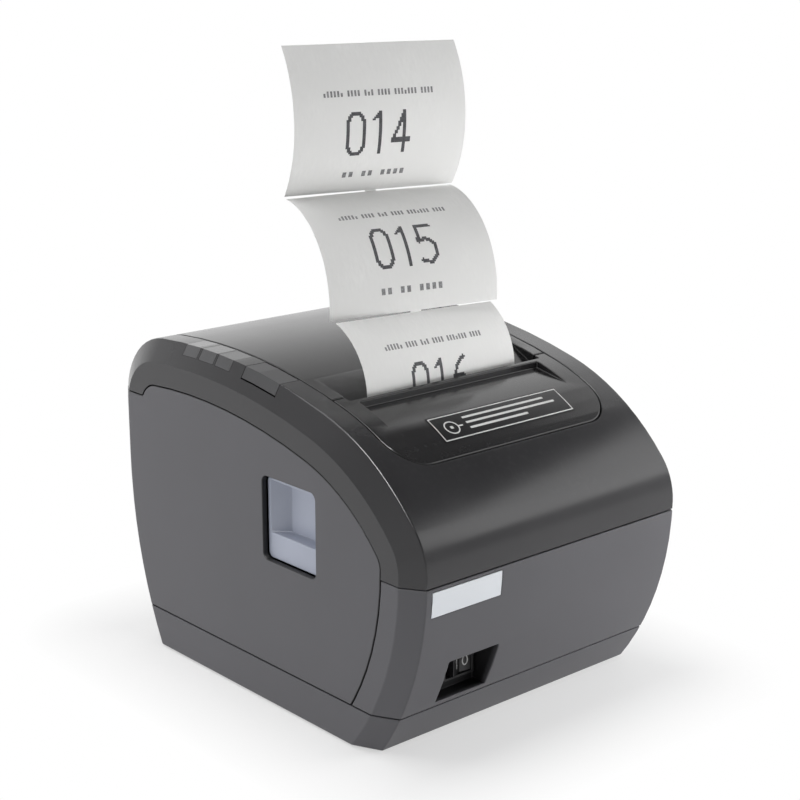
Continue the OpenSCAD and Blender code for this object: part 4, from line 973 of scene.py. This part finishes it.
def rocker_ring(u, v, s):
    a, line = tau * u, RING_LINE * v
    along = RING_ALONG + (RING_HALF_WIDTH + line) * cos(a)
    return rocker_point(along, s, (RING_HALF_HEIGHT + line) * sin(a))


def rocker_bar(u, v, s):
    return rocker_point(BAR_ALONG - BAR_LINE * u, s, BAR_HALF_HEIGHT * (2 * v - 1))


class PRINTER_OT_controls(bpy.types.Operator):
    """Finishes the buttons, the indicators and the power switch"""

    bl_idname = "printer.controls"
    bl_label = "Controls"

    NODES = (
        ("cap_plastic", 0, "feed_button"),
        ("window_plastic", 0, "indicator_windows"),
        ("switch_plastic", 0, "feed_switch"),
        ("board_green", 0, "button_board"),
        ("switch_plastic", 0.6, "switch_body power_rocker"),
    )

    def execute(self, context):
        rounding = context.scene.printer_finish.rounding
        finish_nodes(self.NODES, rounding)
        finish_node("open_button", "button_plastic")
        soften("open_button", rounding * 0.8, segments=3)
        marks = [plate(rocker_ring, 1, 28), plate(rocker_bar, 1, 1)]
        mesh_piece("rocker_marks", *join_parts(marks), "mark_white", "rocker", "badge")
        return {"FINISHED"}


# Ports

CONTACT_PITCH, CONTACT_RADIUS = 1.02, 0.22
CONTACT_BENDS, CONTACT_DROP = ((1.6, 0.3), (3.0, 0.7)), 4.2
SOCKET_MOUTH = 167.0

# Middle and top of each socket, and the count and reach of its contacts
SOCKETS = ((-12.0, 30.2, 8, 9.0), (-33.0, 29.3, 6, 8.0))


class PRINTER_OT_ports(bpy.types.Operator):
    """Finishes the rear ports and sets contacts in their sockets"""

    bl_idname = "printer.ports"
    bl_label = "Ports"

    NODES = (
        ("switch_plastic", 0.4, "dc_inlet drawer_port"),
        ("steel", 0.4, "usb_port lan_port"),
    )

    def execute(self, context):
        finish_nodes(self.NODES, context.scene.printer_finish.rounding)
        wires = [wire for socket in SOCKETS for wire in self.contacts(*socket)]
        smooth(mesh_piece("port_contacts", *join_parts(wires), "contact_gold", "chassis", "steel"))
        return {"FINISHED"}

    def contacts(self, middle, top, count, depth):
        """Sprung wires that slant back from the top of a socket."""
        bends = (*CONTACT_BENDS, (depth, CONTACT_DROP))
        for i in range(count):
            x = middle + (i - (count - 1) / 2) * CONTACT_PITCH
            path = [at(x, SOCKET_MOUTH - back, top - down) for back, down in bends]
            yield tube(path, CONTACT_RADIUS * MM, 8)


# Mechanism


def coil(start, end, radius, wire, turns):
    """Points and faces of a wound spring between two places."""
    along = end - start
    axis = along.normalized()
    across = axis.orthogonal().normalized()
    up = axis.cross(across)
    steps = turns * 18
    path = []
    for i in range(steps + 1):
        a = tau * turns * i / steps
        rise = wire + (along.length - 2 * wire) * i / steps
        path.append(start + axis * rise + (radius - wire) * (cos(a) * across + sin(a) * up))
    return tube(path, wire, 8)


class PRINTER_OT_mechanism(bpy.types.Operator):
    """Finishes what the open lid shows, and winds the springs"""

    bl_idname = "printer.mechanism"
    bl_label = "Mechanism"

    NODES = {
        "inner_plastic": "lid_liner paper_bin paper_sensor",
        "steel": "mechanism_frame cutter_frame platen_shaft latch_shaft latch_levers idler_axle "
        "motor_pinion cutter_axle cutter_pinion feed_motor cutter_motor board_screws",
        "blade_steel": "cutter_blade fixed_blade",
        "aluminium": "heat_sink",
        "head_ceramic": "print_head",
        "rubber": "platen_rubber",
        "gear_acetal": "platen_gear platen_bushes idler_gear cutter_gear",
        "board_green": "main_board",
        "roll_paper": "paper_roll",
        "cardboard": "roll_core",
    }
    WIRE_SHARE = 0.16

    def execute(self, context):
        for finish, names in self.NODES.items():
            for name in names.split():
                finish_node(name, finish)
                soften(name)
        spring = self.wind("release_spring", "open_button_spring", "release", "X", 8)
        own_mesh(spring)
        self.wind("head_spring_coils", "head_springs", "chassis", "Y", 5)
        return {"FINISHED"}

    def wind(self, name, node, body, axis, turns):
        """Replaces a spring's plain tubes with wound wire."""
        low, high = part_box(node)
        middle, radius = (low + high) / 2, (high.z - low.z) / 2
        if axis == "X":
            ends = [((low.x, middle.y, middle.z), (high.x, middle.y, middle.z))]
        else:
            ends = [((x, low.y, middle.z), (x, high.y, middle.z)) for x in (low.x + radius, high.x - radius)]
        coils = [coil(Vector(a), Vector(b), radius, radius * self.WIRE_SHARE, turns) for a, b in ends]
        spring = smooth(mesh_piece(name, *join_parts(coils), "spring_steel", body, "steel"), 80)
        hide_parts(node)
        return spring


# Stage

FLOOR_HALF = 4.0
FADE = (-0.045, 0.045)
SKY_BY_HEIGHT = (0.25, 0.68, 1.2, 0.12)
SKY_BY_SIDE = (-0.7, 0.5, 0.52, 1.0)
CAMERA_SPOT, CAMERA_WAY = (-0.4458, -0.5088, 0.2947), (0.6393, 0.7226, -0.2630)
SENSOR_WIDTH, VIEW_END = 36, 20


class LampPlan(NamedTuple):
    """A lamp's place, what it faces, its sides, its power's property and the rays that it is kept from."""

    spot: tuple
    aim: tuple
    sides: tuple
    power: str
    kept_from: str = "visible_camera"


LAMPS = {
    "overhead": LampPlan((-0.35, 0.45, 1.1), (0, 0, 0.1), (1.0, 1.0), "key_power"),
    "front_box": LampPlan((0.73, -0.51, 0.535), (0, -0.085, 0.1), (0.75, 0.42), "front_power"),
    "rear_box": LampPlan((0.78, 0.24, 0.7), (0, -0.02, 0.12), (0.7, 0.36), "rear_power"),
    "right_fill": LampPlan(
        (0.3, -0.28, 0.07), (0.05, -0.09, 0.05), (0.2, 0.2), "right_power", "visible_glossy"
    ),
    "left_fill": LampPlan((-0.5, 0.35, 0.03), (-0.07, 0, 0.05), (0.4, 0.2), "left_power", "visible_glossy"),
    "rim_strip": LampPlan(
        (-0.3, -0.24, 1.1), (-0.067, -0.06, 0.12), (0.34, 1.0), "rim_power", "visible_diffuse"
    ),
}


def aimed(name, data, spot, way):
    """A lamp or camera in the scene that looks along a direction."""
    made = bpy.data.objects.new(name, data)
    made.location = spot
    made.rotation_euler = Vector(way).to_track_quat("-Z", "Y").to_euler()
    bpy.context.scene.collection.objects.link(made)
    return made


class PRINTER_OT_stage(bpy.types.Operator):
    """Sets the floor, the studio light and the camera"""

    bl_idname = "printer.stage"
    bl_label = "Stage"

    def execute(self, context):
        scene, sizes = context.scene, context.scene.printer_stage
        scene.view_settings.view_transform = "Standard"
        self.floor(sizes)
        self.world(scene)
        for name, plan in LAMPS.items():
            self.lamp(sizes, name, plan)
        self.camera(scene, sizes)
        return {"FINISHED"}

    def floor(self, sizes):
        material = bpy.data.materials.new("pale_floor")
        material.use_nodes = True
        tree = material.node_tree
        soft = ramp(tree, noise(tree, 3.0), 0.3, 0.7)
        colour = varied(tree, sizes.floor_colour, soft, 0.99, 1.0)
        dress(tree, {"Base Color": colour, "Roughness": 0.9, "Specular IOR Level": 0.1})
        self.fade_out(tree)
        sheet = patch(lambda u, v: FLOOR_HALF * Vector((2 * u - 1, 2 * v - 1, 0)), 8, 8)
        floor = mesh_object("floor", *sheet, material)

    def fade_out(self, tree):
        """Fades the floor to plain white away from the printer, where it is seen or mirrored."""
        foot = (SIDE_HALF * MM, BODY_DEPTH / 2 * MM, 0)
        apart = vector_node(tree, "SUBTRACT", vector_node(tree, "ABSOLUTE", place_on(tree)), foot)
        reach = vector_node(tree, "LENGTH", vector_node(tree, "MAXIMUM", apart, (0, 0, 0)))
        rays = add_node(tree, "LightPath").outputs
        seen = calc(tree, "MAXIMUM", rays["Is Camera Ray"], rays["Is Glossy Ray"])
        seen = calc(tree, "MAXIMUM", seen, rays["Is Transmission Ray"])
        far = product(tree, seen, ramp(tree, reach, *FADE))
        white = add_node(tree, "Emission", {"Color": WHITE, "Strength": 1.0})
        plain = tree.nodes["Principled BSDF"].outputs[0]
        mixed = add_node(tree, "MixShader", {0: far, 1: plain, 2: white.outputs[0]})
        feed(tree, tree.nodes["Material Output"], {"Surface": mixed.outputs[0]})

    def world(self, scene):
        """White where it is seen; as light, white at the horizon and dark overhead, for the dome's depth."""
        scene.world = bpy.data.worlds.new("studio")
        scene.world.use_nodes = True
        tree = scene.world.node_tree
        way = axes_of(tree, add_node(tree, "TexCoord").outputs["Generated"])
        rise, side = ramp(tree, way["Z"], *SKY_BY_HEIGHT), ramp(tree, way["Y"], *SKY_BY_SIDE)
        lit = product(tree, rise, side)
        seen = add_node(tree, "LightPath").outputs["Is Camera Ray"]
        strength = add_node(tree, "Mix", {0: seen, 2: lit, 3: 1.0}).outputs[0]
        feed(tree, tree.nodes["Background"], {"Color": WHITE, "Strength": strength})

    def lamp(self, sizes, name, plan):
        light = bpy.data.lights.new(name, "AREA")
        light.shape = "RECTANGLE"
        light.size, light.size_y = plan.sides
        light.energy = getattr(sizes, plan.power)
        lamp = aimed(name, light, plan.spot, Vector(plan.aim) - Vector(plan.spot))
        lamp.visible_camera = False
        setattr(lamp, plan.kept_from, False)

    def camera(self, scene, sizes):
        lens = bpy.data.cameras.new("camera")
        lens.lens = sizes.lens
        lens.sensor_width, lens.clip_end = SENSOR_WIDTH, VIEW_END
        scene.camera = aimed("camera", lens, CAMERA_SPOT, CAMERA_WAY)


class PRINTER_PT_sidebar(bpy.types.Panel):
    """Lists the printer's pieces and their sizes"""

    bl_idname = "PRINTER_PT_sidebar"
    bl_label = "Receipt printer"
    bl_space_type = "VIEW_3D"
    bl_region_type = "UI"
    bl_category = "Printer"

    def draw(self, context):
        for label, kind in GROUPS.items():
            column = self.layout.column(align=True)
            for name in kind.__annotations__:
                column.prop(getattr(context.scene, label), name)
        for operator in OPERATORS:
            self.layout.operator(operator.bl_idname)


OPERATORS = (
    PRINTER_OT_shells,
    PRINTER_OT_receipts,
    PRINTER_OT_label,
    PRINTER_OT_controls,
    PRINTER_OT_ports,
    PRINTER_OT_mechanism,
    PRINTER_OT_stage,
)
GROUPS = {"printer_finish": PrinterFinish, "printer_print": PrinterPrint, "printer_stage": PrinterStage}


def register():
    for kind in (*GROUPS.values(), *OPERATORS, PRINTER_PT_sidebar):
        bpy.utils.register_class(kind)
    for name, kind in GROUPS.items():
        setattr(bpy.types.Scene, name, PointerProperty(type=kind))


def unregister():
    for name in GROUPS:
        delattr(bpy.types.Scene, name)
    for kind in (PRINTER_PT_sidebar, *reversed(OPERATORS), *GROUPS.values()):
        bpy.utils.unregister_class(kind)


def main():
    register()
    bpy.ops.printer.shells()
    bpy.ops.printer.receipts()
    bpy.ops.printer.label()
    bpy.ops.printer.controls()
    bpy.ops.printer.ports()
    bpy.ops.printer.mechanism()
    bpy.ops.printer.stage()


if __name__ == "__main__":
    main()
